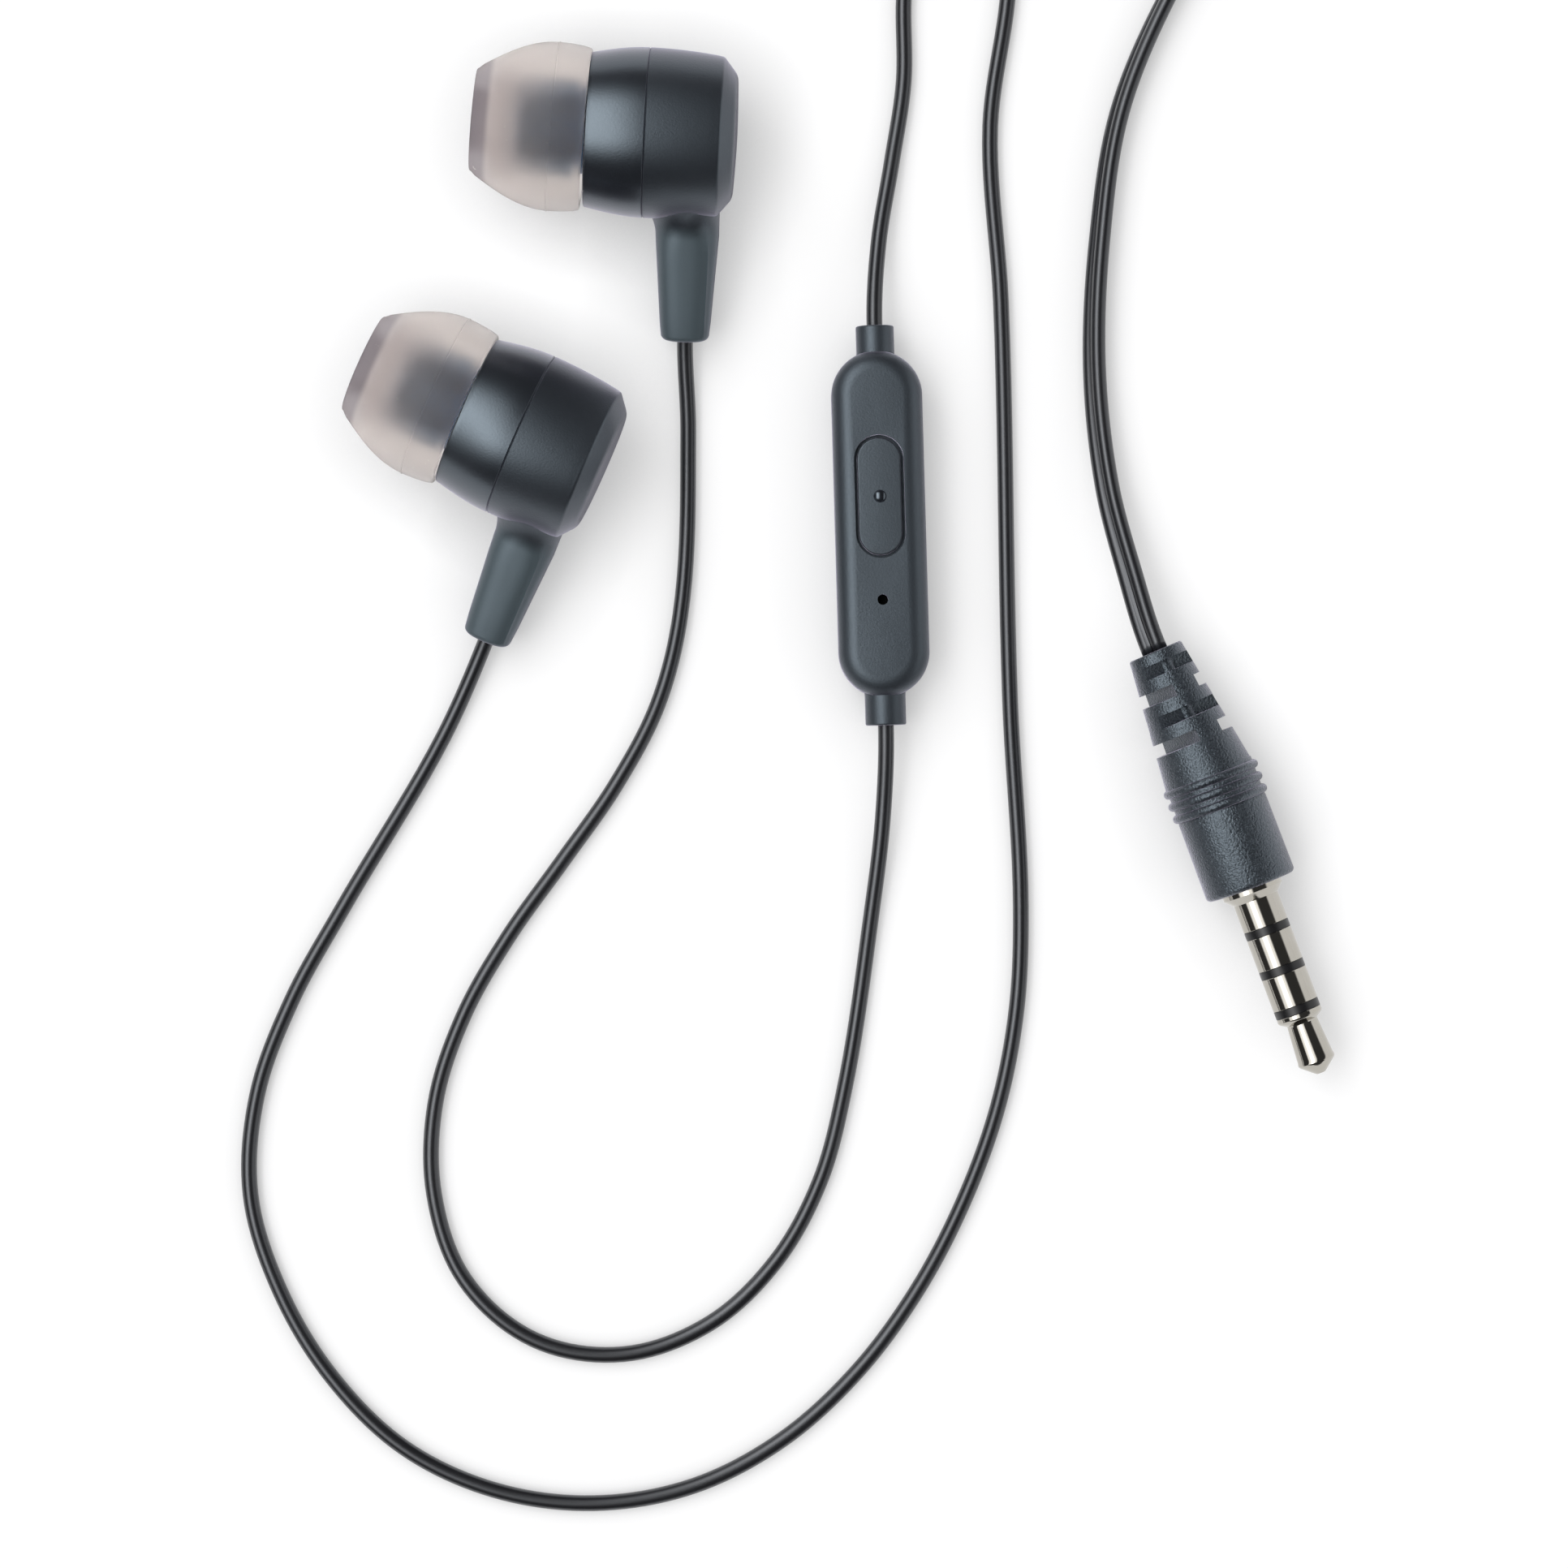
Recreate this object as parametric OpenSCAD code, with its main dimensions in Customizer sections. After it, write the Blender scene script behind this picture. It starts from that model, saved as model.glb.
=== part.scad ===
// Wired in-ear earphones with an in-line remote, a Y-splitter and a 3.5 mm
// four-pole plug, laid out on a table with the spare cord wound in a coil.
// Millimetres. +Z up, the table top is z = 0.
// Each earbud is drawn about its own housing axis, with z = 0 at the seam
// between the shells, -z towards the ear and the stem along -y.

/* [Earbud housing] */
// Diameter of the housing at its seam
housing_d = 12.6; // [12:0.1:14]
// Length of the front shell, from the seam to its front face
front_len = 4.45; // [4:0.05:6]
// How much the front shell's radius grows from its front face to the seam
front_swell = 0.6; // [0.4:0.05:0.8]
// Length of the rear shell, from the seam to its chamfer
rear_len = 5.5; // [4.5:0.1:8]
// How much the rear shell's radius shrinks from the seam to the chamfer
rear_draw = 0.4; // [0.3:0.05:0.6]
// Length of the chamfer round the rear face
end_chamfer = 1.1; // [0.6:0.1:1.6]
// Diameter of the rear face
end_d = 9.1; // [8:0.1:10]
// Rounding of the rear face's edge
end_edge = 0.42; // [0.2:0.02:0.6]
// Wall of the shells
shell_wall = 0.9; // [0.7:0.05:1.1]
// Wall of the rear face
end_wall = 1.2; // [1:0.1:1.6]
// Length of the front shell's locating lip inside the rear shell
lip_len = 1; // [0.6:0.1:1.5]
// Bevel on both edges of the seam
seam_bevel = 0.08; // [0.04:0.01:0.15]

/* [Nozzle] */
// Diameter of the nozzle tube
nozzle_d = 5.2; // [5:0.1:5.4]
// Length of the nozzle tube from the front face
nozzle_len = 5.2; // [4.5:0.1:5.6]
// Bore of the nozzle tube
nozzle_bore = 3.8; // [3:0.1:4]
// Diameter of the ridge that holds the ear tip
ridge_d = 5.8; // [5.6:0.1:6]
// Length of the ridge
ridge_len = 0.7; // [0.4:0.1:1]
// Diameter of the collar at the nozzle's root
collar_d = 6.6; // [6.2:0.1:7.4]
// Length of the collar at the nozzle's root
collar_len = 0.5; // [0.3:0.1:0.6]
// Thickness of the nozzle's mesh disc
mesh_t = 0.25; // [0.15:0.05:0.4]

/* [Ear tip] */
// Largest diameter of the ear tip's dome
tip_d = 12.5; // [11.6:0.1:12.5]
// Length of the ear tip
tip_len = 8.25; // [8:0.05:9]
// Length from the tip's front face to its widest place
tip_crown = 5.95; // [5:0.05:6.5]
// Diameter of the tip's front face
tip_face_d = 7.66; // [7.2:0.02:8.2]
// Diameter of the tip's rear rim
tip_rim_d = 12.1; // [11.4:0.1:12.3]
// Wall of the tip's dome
tip_wall = 0.6; // [0.4:0.05:0.8]
// Wall of the tip's core tube
core_wall = 0.7; // [0.5:0.05:0.8]
// Depth of the tip's front wall
tip_front = 1.3; // [0.9:0.1:1.6]
// Diameter of the sound hole in the tip's front
tip_hole_d = 4.4; // [3.6:0.1:5]

/* [Stem] */
// Length of the stem from the housing axis to its end
stem_len = 15.4; // [12:0.1:20]
// Distance of the stem's axis behind the seam
stem_set = 3.2; // [3:0.1:4]
// Diameter of the stem at its top
stem_top_d = 4.75; // [4.2:0.05:5.2]
// Diameter of the stem at its end
stem_end_d = 3.62; // [3:0.02:4.2]
// Lean of the stem towards the rear, in degrees
stem_lean = 1.3; // [0:0.1:3]
// Rounding of the stem's end
stem_edge = 0.45; // [0.2:0.05:0.7]
// Growth of the flare where the stem joins the housing
flare_gain = 0.17; // [0.1:0.01:0.2]
// How far the flare reaches behind the start of the chamfer
flare_rise = 0.3; // [0.1:0.05:0.5]
// Bore of the stem for the cord
stem_bore = 1.6; // [1.3:0.1:2]

/* [Driver] */
// Thickness of the front wall behind which the driver sits
front_wall = 1; // [0.8:0.1:1.2]
// Depth of the driver's frame ring
driver_ring = 1.5; // [1.2:0.1:2]
// Depth of the driver from its front to its back plate
driver_len = 3.8; // [3.6:0.1:4.6]
// Diameter of the driver's yoke cup
yoke_d = 6.8; // [6.4:0.1:7.2]
// Wall of the yoke cup
yoke_wall = 0.5; // [0.3:0.05:0.6]
// Diameter of the magnet
magnet_d = 4.4; // [4:0.1:4.6]
// Thickness of the magnet
magnet_t = 1.2; // [0.8:0.1:1.3]
// Thickness of the pole plate
pole_t = 0.45; // [0.3:0.05:0.5]
// Thickness of the voice coil's winding
coil_wall = 0.22; // [0.15:0.01:0.25]
// Height of the voice coil
coil_h = 1.3; // [1:0.1:1.4]
// Thickness of the diaphragm
diaphragm_t = 0.15; // [0.1:0.01:0.2]
// Thickness of the terminal board
terminal_t = 0.4; // [0.3:0.05:0.6]

/* [Remote] */
// Width of the remote
pod_w = 6.8; // [6.4:0.1:8]
// Length of the remote's body
pod_len = 25.9; // [24:0.1:32]
// Height of the remote
pod_h = 4.8; // [4.6:0.1:6]
// Rounding of the remote's upper edge
pod_top_r = 1.5; // [1:0.1:1.7]
// Rounding of the remote's lower edge
pod_foot_r = 0.9; // [0.5:0.1:1.5]
// Wall of the remote's shells
pod_wall = 0.8; // [0.6:0.05:0.9]
// Diameter of the collar on the splitter side
pod_top_collar_d = 2.85; // [2.6:0.05:3.2]
// Length of the collar on the splitter side
pod_top_collar_len = 1.9; // [1.5:0.1:3]
// Diameter of the collar on the earbud side
pod_foot_collar_d = 3.05; // [2.6:0.05:3.2]
// Length of the collar on the earbud side
pod_foot_collar_len = 2.1; // [1.5:0.1:3]
// Width of the button's opening
button_w = 3.7; // [3.4:0.05:3.8]
// Length of the button's opening
button_len = 9.2; // [8.6:0.1:10]
// Distance of the button's centre from the remote's centre
button_set = 2; // [1:0.1:3]
// How far the button travels
button_travel = 0.25; // [0.15:0.05:0.3]
// Diameter of the raised dot on the button
dot_d = 0.95; // [0.7:0.05:1.2]
// Diameter of the microphone hole
mic_hole_d = 0.8; // [0.5:0.05:1]
// How far the button's flange reaches under the shell
button_hold = 0.15; // [0.1:0.05:0.2]
// Height of the locating lip between the remote's shells
pod_lip_h = 0.5; // [0.3:0.1:0.8]
// Thickness of the remote's circuit board
board_t = 0.6; // [0.4:0.1:0.8]
// Height of the switch on the board
switch_h = 1.1; // [0.9:0.1:1.1]
// Width of the switch
switch_w = 3; // [2.6:0.1:3.2]
// Diameter of the switch's plunger
plunger_d = 1.2; // [1:0.1:1.5]
// Distance of the microphone from the remote's centre
mic_set = 5.7; // [5.4:0.1:6.5]
// Diameter of the microphone capsule
mic_d = 3.2; // [2.6:0.1:3.4]

/* [Plug moulding] */
// Length of the strain relief, from its end to the middle rib
boot_len = 11.4; // [11.2:0.1:13]
// Diameter of the strain relief at the cord
boot_end_d = 4.2; // [4:0.1:4.6]
// Diameter of the strain relief at the ribs
boot_root_d = 6.85; // [6.4:0.05:7]
// Lean of the strain relief from the plug's axis, in degrees
boot_lean = 2.7; // [0:0.1:3]
// Distance of the first pair of slots from the cord's end
slot_first = 1.31; // [1.2:0.01:1.5]
// Distance between one pair of slots and the next
slot_pitch = 1.88; // [1.7:0.01:2]
// Width of a slot
slot_w = 0.95; // [0.7:0.05:1.1]
// Distance of a slot's floor from the axis
slot_floor = 1; // [0.85:0.05:1.1]
// Turn of the slots from upright, in degrees
slot_turn = 25; // [0:1:45]
// Diameter of the ribs
rib_d = 7.44; // [7.2:0.02:7.8]
// Distance between the ribs
rib_pitch = 0.97; // [0.85:0.01:1.1]
// Diameter of the plug's barrel
barrel_d = 6.95; // [6.6:0.05:7.1]
// Length of the barrel from the middle rib
barrel_len = 7.6; // [6:0.1:10]
// Rounding of the barrel's edge
barrel_edge = 0.35; // [0.2:0.05:0.6]

/* [Plug contacts] */
// Diameter of the contacts
contact_d = 3.5; // [3.4:0.05:3.6]
// Diameter of the sleeve's flange
flange_d = 4.65; // [4.4:0.05:5]
// Length of the sleeve's flange
flange_len = 0.95; // [0.7:0.05:1.2]
// Length of the sleeve, flange included
sleeve_len = 3.08; // [2.6:0.02:3.4]
// Length of each insulating ring
insulator_len = 0.63; // [0.5:0.01:0.8]
// Length of each ring contact
ring_len = 2.52; // [2.2:0.02:2.8]
// Length of the tip contact
tip_contact_len = 4.8; // [4.4:0.1:5.2]
// Diameter of the tip contact's neck
tip_neck_d = 2.36; // [2.2:0.02:2.6]
// Diameter of the tip contact's bulb
tip_bulb_d = 2.88; // [2.7:0.02:3.1]

/* [Cords] */
// Diameter of a single cord
cord_d = 1.2; // [1:0.05:1.3]
// Width of the twin cord to the plug
twin_w = 2.2; // [2:0.05:2.3]
// Thickness of the twin cord
twin_t = 1.2; // [1:0.05:1.25]
// Outer radius of the coil's middle line
coil_out_r = 16.7; // [16.4:0.1:17]
// Inner radius of the coil's middle line
coil_in_r = 7.3; // [7:0.1:7.5]
// Gap between the coil's two layers
layer_gap = 0.45; // [0.42:0.01:0.6]
// Thickness of the coil's tie
tie_t = 0.4; // [0.3:0.05:0.6]
// Width of the coil's tie
tie_w = 3; // [2:0.1:5]

/* [Splitter] */
// Length of the splitter
splitter_len = 8; // [7:0.1:9]
// Width of the splitter at the single cords
splitter_w = 3.3; // [3:0.1:3.6]
// Height of the splitter at the twin cord
splitter_h = 2.6; // [2.5:0.1:3]
// Height of the splitter at the single cords
splitter_low_h = 1.8; // [1.5:0.1:2.2]
// Distance between the single cords at the splitter
splitter_pitch = 1.6; // [1.5:0.05:1.8]

/* [Fits] */
// Gap between the ear tip's bore and the nozzle's ridge
tip_fit = 0.05; // [0.02:0.01:0.1]
// Gap between the ear tip's rim and the front shell
tip_gap = 0.2; // [0.1:0.05:0.4]
// Gap round the driver, the lip and other seated pieces
seat_fit = 0.05; // [0.02:0.01:0.1]
// Gap all round the remote's button
button_gap = 0.175; // [0.1:0.005:0.25]
// Gap inside the driver's magnet system
magnet_gap = 0.15; // [0.08:0.01:0.2]
// Gap between the plunger and the switch
plunger_fit = 0.05; // [0.02:0.01:0.1]
// Gap between the coil and its tie
tie_fit = 0.3; // [0.2:0.05:0.5]

/* [Hidden] */
$fa = 4;
$fs = 0.2;
// Facets on the children of a hull
HULL_FN = 32;
// How far a cut runs past the face that it opens
PAST = 0.5;

// ---- Vectors ----------------------------------------------------------------

function unit(v) = v / norm(v);
function turn_x(a, v) = [v[0], v[1] * cos(a) - v[2] * sin(a), v[1] * sin(a) + v[2] * cos(a)];
function turn_z(a, v) = [v[0] * cos(a) - v[1] * sin(a), v[0] * sin(a) + v[1] * cos(a), v[2]];
function around(a) = [cos(a), sin(a), 0];

// ---- Earbuds: places and sizes that follow from others ------------------------

// Seam centres on the table, and the heading of each housing's rear
RIGHT_AT = [7.8, 15.9];
RIGHT_YAW = -3;
LEFT_AT = [-1.5, -6.5];
LEFT_YAW = -24;

housing_r = housing_d / 2;
// The stem's end rests on the table, which rolls the earbud about its axis
stem_reach = (stem_len - stem_edge) * cos(stem_lean);
stem_half = stem_end_d / 2 - stem_edge;
bud_roll = asin((housing_r - stem_edge) / norm([stem_reach, stem_half]))
    - atan2(stem_half, stem_reach);
stem_dir = [sin(stem_lean), -cos(stem_lean), 0];

front_face_r = housing_r - front_swell;
rear_edge_r = housing_r - rear_draw;
bore_r = front_face_r - shell_wall;
driver_r = bore_r - seat_fit;
driver_front = -(front_len - front_wall);
driver_back = driver_front + driver_len;
yoke_r = yoke_d / 2;
yoke_in_r = yoke_r - yoke_wall;
yoke_floor = driver_back - yoke_wall;
magnet_top = yoke_floor - magnet_t;
pole_r = yoke_in_r - coil_wall - 2 * magnet_gap;
coil_in = pole_r + magnet_gap;
// The diaphragm sits on a ledge inside the frame's ring
ledge_depth = 0.5;
ledge_w = 0.35;
ledge_z = driver_front + ledge_depth;
diaphragm_r = driver_r - ledge_w - seat_fit;
dome_rise = 0.22;

lip_out_r = housing_r - shell_wall;
lip_in_r = bore_r;
rear_end = rear_len + end_chamfer;
rear_bore_r = rear_edge_r - shell_wall;
rear_floor = rear_end - end_wall;

nozzle_front = -(front_len + nozzle_len);
// Distance of the ridge from the nozzle's end
ridge_set = 0.35;
// Ledge that the mesh disc sits on, and its depth below the nozzle's end
mesh_ledge = 0.35;
mesh_r = nozzle_bore / 2 + mesh_ledge;
mesh_seat = 0.05;
tip_rear = -(front_len + tip_gap);
tip_face = tip_rear - tip_len;
tip_bore_r = ridge_d / 2 + tip_fit;
core_r = tip_bore_r + core_wall;
// Gap between the tip's core and the nozzle's collar
core_gap = 0.3;
core_rear = -(front_len + collar_len + core_gap);

function bud_at(right) = right ? RIGHT_AT : LEFT_AT;
function bud_yaw(right) = right ? RIGHT_YAW : LEFT_YAW;
// A point or a direction of an earbud, given as [towards the rear, away from the stem, up]
function bud_dir(right, v) = turn_z(bud_yaw(right), turn_x(bud_roll, v));
function bud_point(right, v) = [bud_at(right)[0], bud_at(right)[1], housing_r] + bud_dir(right, v);
function stem_exit(right) = bud_point(right, [stem_set, 0, 0] + stem_len * stem_dir);

module place_bud(right) {
    translate([bud_at(right)[0], bud_at(right)[1], housing_r])
        rotate([0, 0, bud_yaw(right)])
            rotate([bud_roll, 0, 0])
                rotate([0, 90, 0])
                    children();
}

// ---- Ear tip ------------------------------------------------------------------

// Radius of the dome at a distance behind the front face
function dome_r(u) = u < tip_crown
    ? tip_face_d / 2 + (tip_d - tip_face_d) / 2 * sin(90 * u / tip_crown)
    : tip_d / 2 - (tip_d - tip_rim_d) / 2 * pow((u - tip_crown) / (tip_len - tip_crown), 2);

module ear_tip() {
    steps = 12;
    rim_round = 0.15;
    // Slope of the front wall's inside, and the least gap between dome and core
    floor_rise = 0.6;
    core_root = 0.3;
    outside = [for (i = [0 : steps]) let (u = rim_round + (tip_len - 2 * rim_round) * i / steps)
        [dome_r(u), tip_face + u]];
    inside_from = tip_front + floor_rise;
    inside = [for (i = [steps : -1 : 0]) let (u = inside_from + (tip_len - inside_from) * i / steps)
        [max(dome_r(u) - tip_wall, core_r + core_root), tip_face + u]];
    rotate_extrude()
        polygon(concat(
            [[tip_hole_d / 2 + rim_round, tip_face], [dome_r(0) - rim_round, tip_face]],
            outside,
            [[dome_r(tip_len) - rim_round, tip_rear]],
            inside,
            [
                [core_r, tip_face + tip_front],
                [core_r, core_rear],
                [tip_bore_r, core_rear],
                [tip_bore_r, tip_face + tip_front],
                [tip_hole_d / 2, tip_face + tip_front],
                [tip_hole_d / 2, tip_face + rim_round]
            ]));
}

// ---- Front shell and what is in it ----------------------------------------------

// The housing swells from the front face to the seam
function front_r(u) = front_face_r + front_swell * sin(90 * u / front_len);

module front_shell() {
    steps = 8;
    face_edge = 0.2;
    nozzle_edge = 0.1;
    ridge_lead = 0.3;
    swell = [for (i = [0 : steps]) let (u = face_edge + (front_len - face_edge - seam_bevel) * i / steps)
        [front_r(u), u - front_len]];
    ridge_front = nozzle_front + ridge_set;
    rotate_extrude()
        polygon(concat(
            [
                [mesh_r + seat_fit, nozzle_front],
                [nozzle_d / 2 - nozzle_edge, nozzle_front],
                [nozzle_d / 2, nozzle_front + nozzle_edge],
                [nozzle_d / 2, ridge_front],
                [ridge_d / 2, ridge_front + ridge_lead],
                [ridge_d / 2, ridge_front + ridge_len],
                [nozzle_d / 2, ridge_front + ridge_len + nozzle_edge],
                [nozzle_d / 2, -front_len - collar_len],
                [collar_d / 2, -front_len - collar_len],
                [collar_d / 2, -front_len],
                [front_face_r - face_edge, -front_len]
            ],
            swell,
            [
                [housing_r - seam_bevel, 0],
                [lip_out_r, 0],
                [lip_out_r, lip_len],
                [lip_in_r, lip_len],
                [lip_in_r, driver_front],
                [nozzle_bore / 2, driver_front],
                [nozzle_bore / 2, nozzle_front + mesh_t + mesh_seat],
                [mesh_r + seat_fit, nozzle_front + mesh_t + mesh_seat]
            ]));
}

module nozzle_mesh() {
    translate([0, 0, nozzle_front + mesh_seat])
        cylinder(r = mesh_r, h = mesh_t);
}

module diaphragm() {
    glue_w = 0.2;
    surround_in = coil_in + coil_wall + glue_w;
    rotate_extrude()
        polygon([
            [0, ledge_z - diaphragm_t - dome_rise],
            [coil_in * 0.6, ledge_z - diaphragm_t - dome_rise * 0.7],
            [coil_in, ledge_z - diaphragm_t],
            [surround_in, ledge_z - diaphragm_t],
            [(surround_in + diaphragm_r) / 2, ledge_z - diaphragm_t - dome_rise * 0.5],
            [diaphragm_r - ledge_w, ledge_z - diaphragm_t],
            [diaphragm_r, ledge_z - diaphragm_t],
            [diaphragm_r, ledge_z],
            [diaphragm_r - ledge_w, ledge_z],
            [(surround_in + diaphragm_r) / 2, ledge_z - dome_rise * 0.5],
            [surround_in, ledge_z],
            [coil_in, ledge_z],
            [coil_in * 0.6, ledge_z - dome_rise * 0.7],
            [0, ledge_z - dome_rise]
        ]);
}

module voice_coil() {
    translate([0, 0, ledge_z])
        difference() {
            cylinder(r = coil_in + coil_wall, h = coil_h);
            translate([0, 0, -PAST])
                cylinder(r = coil_in, h = coil_h + 2 * PAST);
        }
}

module pole_plate() {
    translate([0, 0, magnet_top - pole_t])
        cylinder(r = pole_r, h = pole_t);
}

module magnet() {
    translate([0, 0, magnet_top])
        cylinder(d = magnet_d, h = magnet_t);
}

module driver_frame() {
    ring_back = driver_front + driver_ring;
    seat_in_r = diaphragm_r - ledge_w;
    // Slopes of the ring's back and of the basket inside it
    back_slope = 0.3;
    basket_slope = 0.3;
    basket_wall = 0.4;
    rotate_extrude()
        polygon([
            [diaphragm_r + seat_fit, driver_front],
            [driver_r, driver_front],
            [driver_r, ring_back],
            [yoke_r, ring_back + back_slope],
            [yoke_r, driver_back],
            [0, driver_back],
            [0, yoke_floor],
            [yoke_in_r, yoke_floor],
            [yoke_in_r, ring_back - basket_wall],
            [seat_in_r, ring_back - basket_wall - basket_slope],
            [seat_in_r, ledge_z],
            [diaphragm_r + seat_fit, ledge_z]
        ]);
}

// A disc with a straight edge above the two solder pads
module terminal_board() {
    board_set = 0.4;
    straight_at = 0.3;
    translate([0, 0, driver_back])
        intersection() {
            cylinder(r = yoke_r - board_set, h = terminal_t);
            translate([-yoke_r, -yoke_r, 0])
                cube([2 * yoke_r, (1 + straight_at) * yoke_r, terminal_t]);
        }
}

// ---- Rear shell with its stem ------------------------------------------------------

// The stem tapers down to its end, and inside flare_from it widens into the housing
flare_out = 1.3;
flare_in = 1.7;
flare_from = housing_r + flare_out;
flare_to = housing_r - flare_in;
function stem_r(s) = stem_top_d / 2 + flare_gain * pow(max(0, flare_from - s), 2)
    - (stem_top_d - stem_end_d) / 2 * max(0, s - flare_from) / (stem_len - flare_from);

module stem_body() {
    steps = 8;
    flare = [for (i = [0 : steps]) let (s = flare_to + (flare_from - flare_to) * i / steps)
        [stem_r(s), s]];
    edge = [for (a = [0 : 22.5 : 90])
        [stem_end_d / 2 - stem_edge + stem_edge * cos(a), stem_len - stem_edge + stem_edge * sin(a)]];
    translate([0, 0, stem_set])
        rotate([90 - stem_lean, 0, 0])
            rotate_extrude()
                polygon(concat([[0, flare_to]], flare, edge, [[0, stem_len]]));
}

// Points that round a corner, from a distance before it to the same distance after it
function corner(before, at, after, reach) = let (
        from = at + reach * unit(before - at),
        to = at + reach * unit(after - at))
    [for (t = [0 : 0.25 : 1]) (1 - t) * (1 - t) * from + 2 * t * (1 - t) * at + t * t * to];

module rear_shell() {
    end_crown = 0.12;
    steps = 6;
    side = [for (i = [0 : steps]) let (u = i / steps)
        [housing_r - rear_draw * u * u, seam_bevel + (rear_len - seam_bevel) * u]];
    crown = [0, rear_end + end_crown];
    difference() {
        union() {
            rotate_extrude()
                polygon(concat(
                    [[0, 0], [housing_r - seam_bevel, 0]],
                    side,
                    corner([rear_edge_r, rear_len], [end_d / 2, rear_end], crown, end_edge),
                    [crown]));
            intersection() {
                stem_body();
                cylinder(r = stem_len + housing_r, h = rear_len + flare_rise);
            }
        }
        // Counterbore for the front shell's lip
        translate([0, 0, -PAST])
            cylinder(r = lip_out_r + seat_fit, h = PAST + lip_len + seat_fit);
        // Inside of the shell
        cylinder(r = rear_bore_r, h = rear_floor);
        // The cord's way up the stem, closed round the cord at its end
        translate([0, 0, stem_set])
            rotate([90 - stem_lean, 0, 0])
                cylinder(d = stem_bore, h = stem_len - shell_wall);
    }
}

// ---- Remote ------------------------------------------------------------------------

POD_AT = [25.2, -13];
POD_YAW = 1.64;

pod_r = pod_w / 2;
pod_run = pod_len - pod_w;
pod_mid = pod_h / 2;
pod_floor = pod_wall;
pod_roof = pod_h - pod_wall;
pod_in_r = pod_r - pod_wall;
// Height of the board's posts, and how far the plunger reaches into the switch
board_post = 0.4;
plunger_depth = 0.6;
board_z = pod_floor + board_post;
board_top = board_z + board_t;
switch_top = board_top + switch_h;
flange_t = 0.4;
flange_top = pod_roof - seat_fit;
boss_drop = 0.2;
boss_low = flange_top - flange_t - boss_drop;
button_sink = 0.05;
button_top = pod_h - button_sink;
plunger_low = switch_top - plunger_depth;

function pod_top_end() = [POD_AT[0], POD_AT[1], pod_mid]
    + turn_z(POD_YAW, [0, pod_len / 2 + pod_top_collar_len, 0]);
function pod_foot_end() = [POD_AT[0], POD_AT[1], pod_mid]
    - turn_z(POD_YAW, [0, pod_len / 2 + pod_foot_collar_len, 0]);
function pod_dir() = turn_z(POD_YAW, [0, 1, 0]);

module place_pod() {
    translate([POD_AT[0], POD_AT[1], 0])
        rotate([0, 0, POD_YAW])
            children();
}

// Half of the body's section, from the middle line outwards
module pod_section(inset) {
    r = pod_r - inset;
    top = pod_h - inset;
    top_r = max(0.2, pod_top_r - inset);
    foot_r = max(0.2, pod_foot_r - inset);
    arc = 15;
    polygon(concat(
        [[0, inset]],
        [for (a = [-90 : arc : 0]) [r - foot_r + foot_r * cos(a), inset + foot_r + foot_r * sin(a)]],
        [for (a = [0 : arc : 90]) [r - top_r + top_r * cos(a), top - top_r + top_r * sin(a)]],
        [[0, top]]));
}

// A stadium along Y with the section's rounded edges
module pod_solid(inset) {
    for (end = [-1, 1])
        translate([0, end * pod_run / 2, 0])
            rotate_extrude()
                pod_section(inset);
    rotate([90, 0, 0])
        translate([0, 0, -pod_run / 2])
            linear_extrude(pod_run) {
                pod_section(inset);
                mirror([1, 0])
                    pod_section(inset);
            }
}

// A collar along -Y or +Y that flares into the rounded end of the body
module pod_collar(end, d, length) {
    flare = 0.6;
    flare_len = 1.1;
    root_set = 1.15;
    root_len = 1;
    edge = 0.15;
    root = pod_len / 2 - root_set;
    top = pod_len / 2 + length;
    translate([0, 0, pod_mid])
        rotate([-90 * end, 0, 0])
            rotate_extrude()
                polygon(concat(
                    [[0, root - root_len], [d / 2 + flare, root - root_len]],
                    [for (a = [0 : 15 : 90])
                        [d / 2 + flare * (1 - sin(a)), root + flare_len * (1 - cos(a))]],
                    [[d / 2, top - edge], [d / 2 - edge, top], [0, top]]));
}

module pod_outside() {
    pod_solid(0);
    pod_collar(1, pod_top_collar_d, pod_top_collar_len);
    pod_collar(-1, pod_foot_collar_d, pod_foot_collar_len);
}

// A stadium-shaped prism standing on z = 0
module stadium(w, length, h) {
    for (end = [-1, 1])
        translate([0, end * (length - w) / 2, 0])
            cylinder(d = w, h = h);
    translate([-w / 2, -(length - w) / 2, 0])
        cube([w, length - w, h]);
}

// A level slice of the whole remote
module pod_slice(from, to) {
    translate([-pod_w, -pod_len, from])
        cube([2 * pod_w, 2 * pod_len, to - from]);
}

module remote_front_shell_shape() {
    difference() {
        intersection() {
            pod_outside();
            pod_slice(pod_mid, pod_h + PAST);
        }
        pod_solid(pod_wall);
        // Rebate for the back shell's lip
        intersection() {
            pod_solid(pod_wall / 2);
            pod_slice(pod_mid - PAST, pod_mid + pod_lip_h + seat_fit);
        }
        translate([0, button_set, pod_mid])
            stadium(button_w, button_len, pod_h);
        translate([0, -mic_set, pod_mid])
            cylinder(d = mic_hole_d, h = pod_h);
    }
}

module remote_back_shell_shape() {
    post_r = 0.6;
    post_set = 1.1;
    post_x = pod_in_r - post_set;
    post_y = pod_run / 2 - 1;
    difference() {
        union() {
            intersection() {
                pod_outside();
                pod_slice(-PAST, pod_mid);
            }
            // Locating lip
            intersection() {
                pod_solid(pod_wall / 2 + seat_fit);
                pod_slice(pod_mid - PAST, pod_mid + pod_lip_h);
            }
        }
        pod_solid(pod_wall);
    }
    // Posts that carry the circuit board
    for (x = [-post_x, post_x], y = [-post_y, post_y])
        translate([x, y, pod_floor - PAST / 2])
            cylinder(r = post_r, h = board_z - pod_floor + PAST / 2);
}

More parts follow.
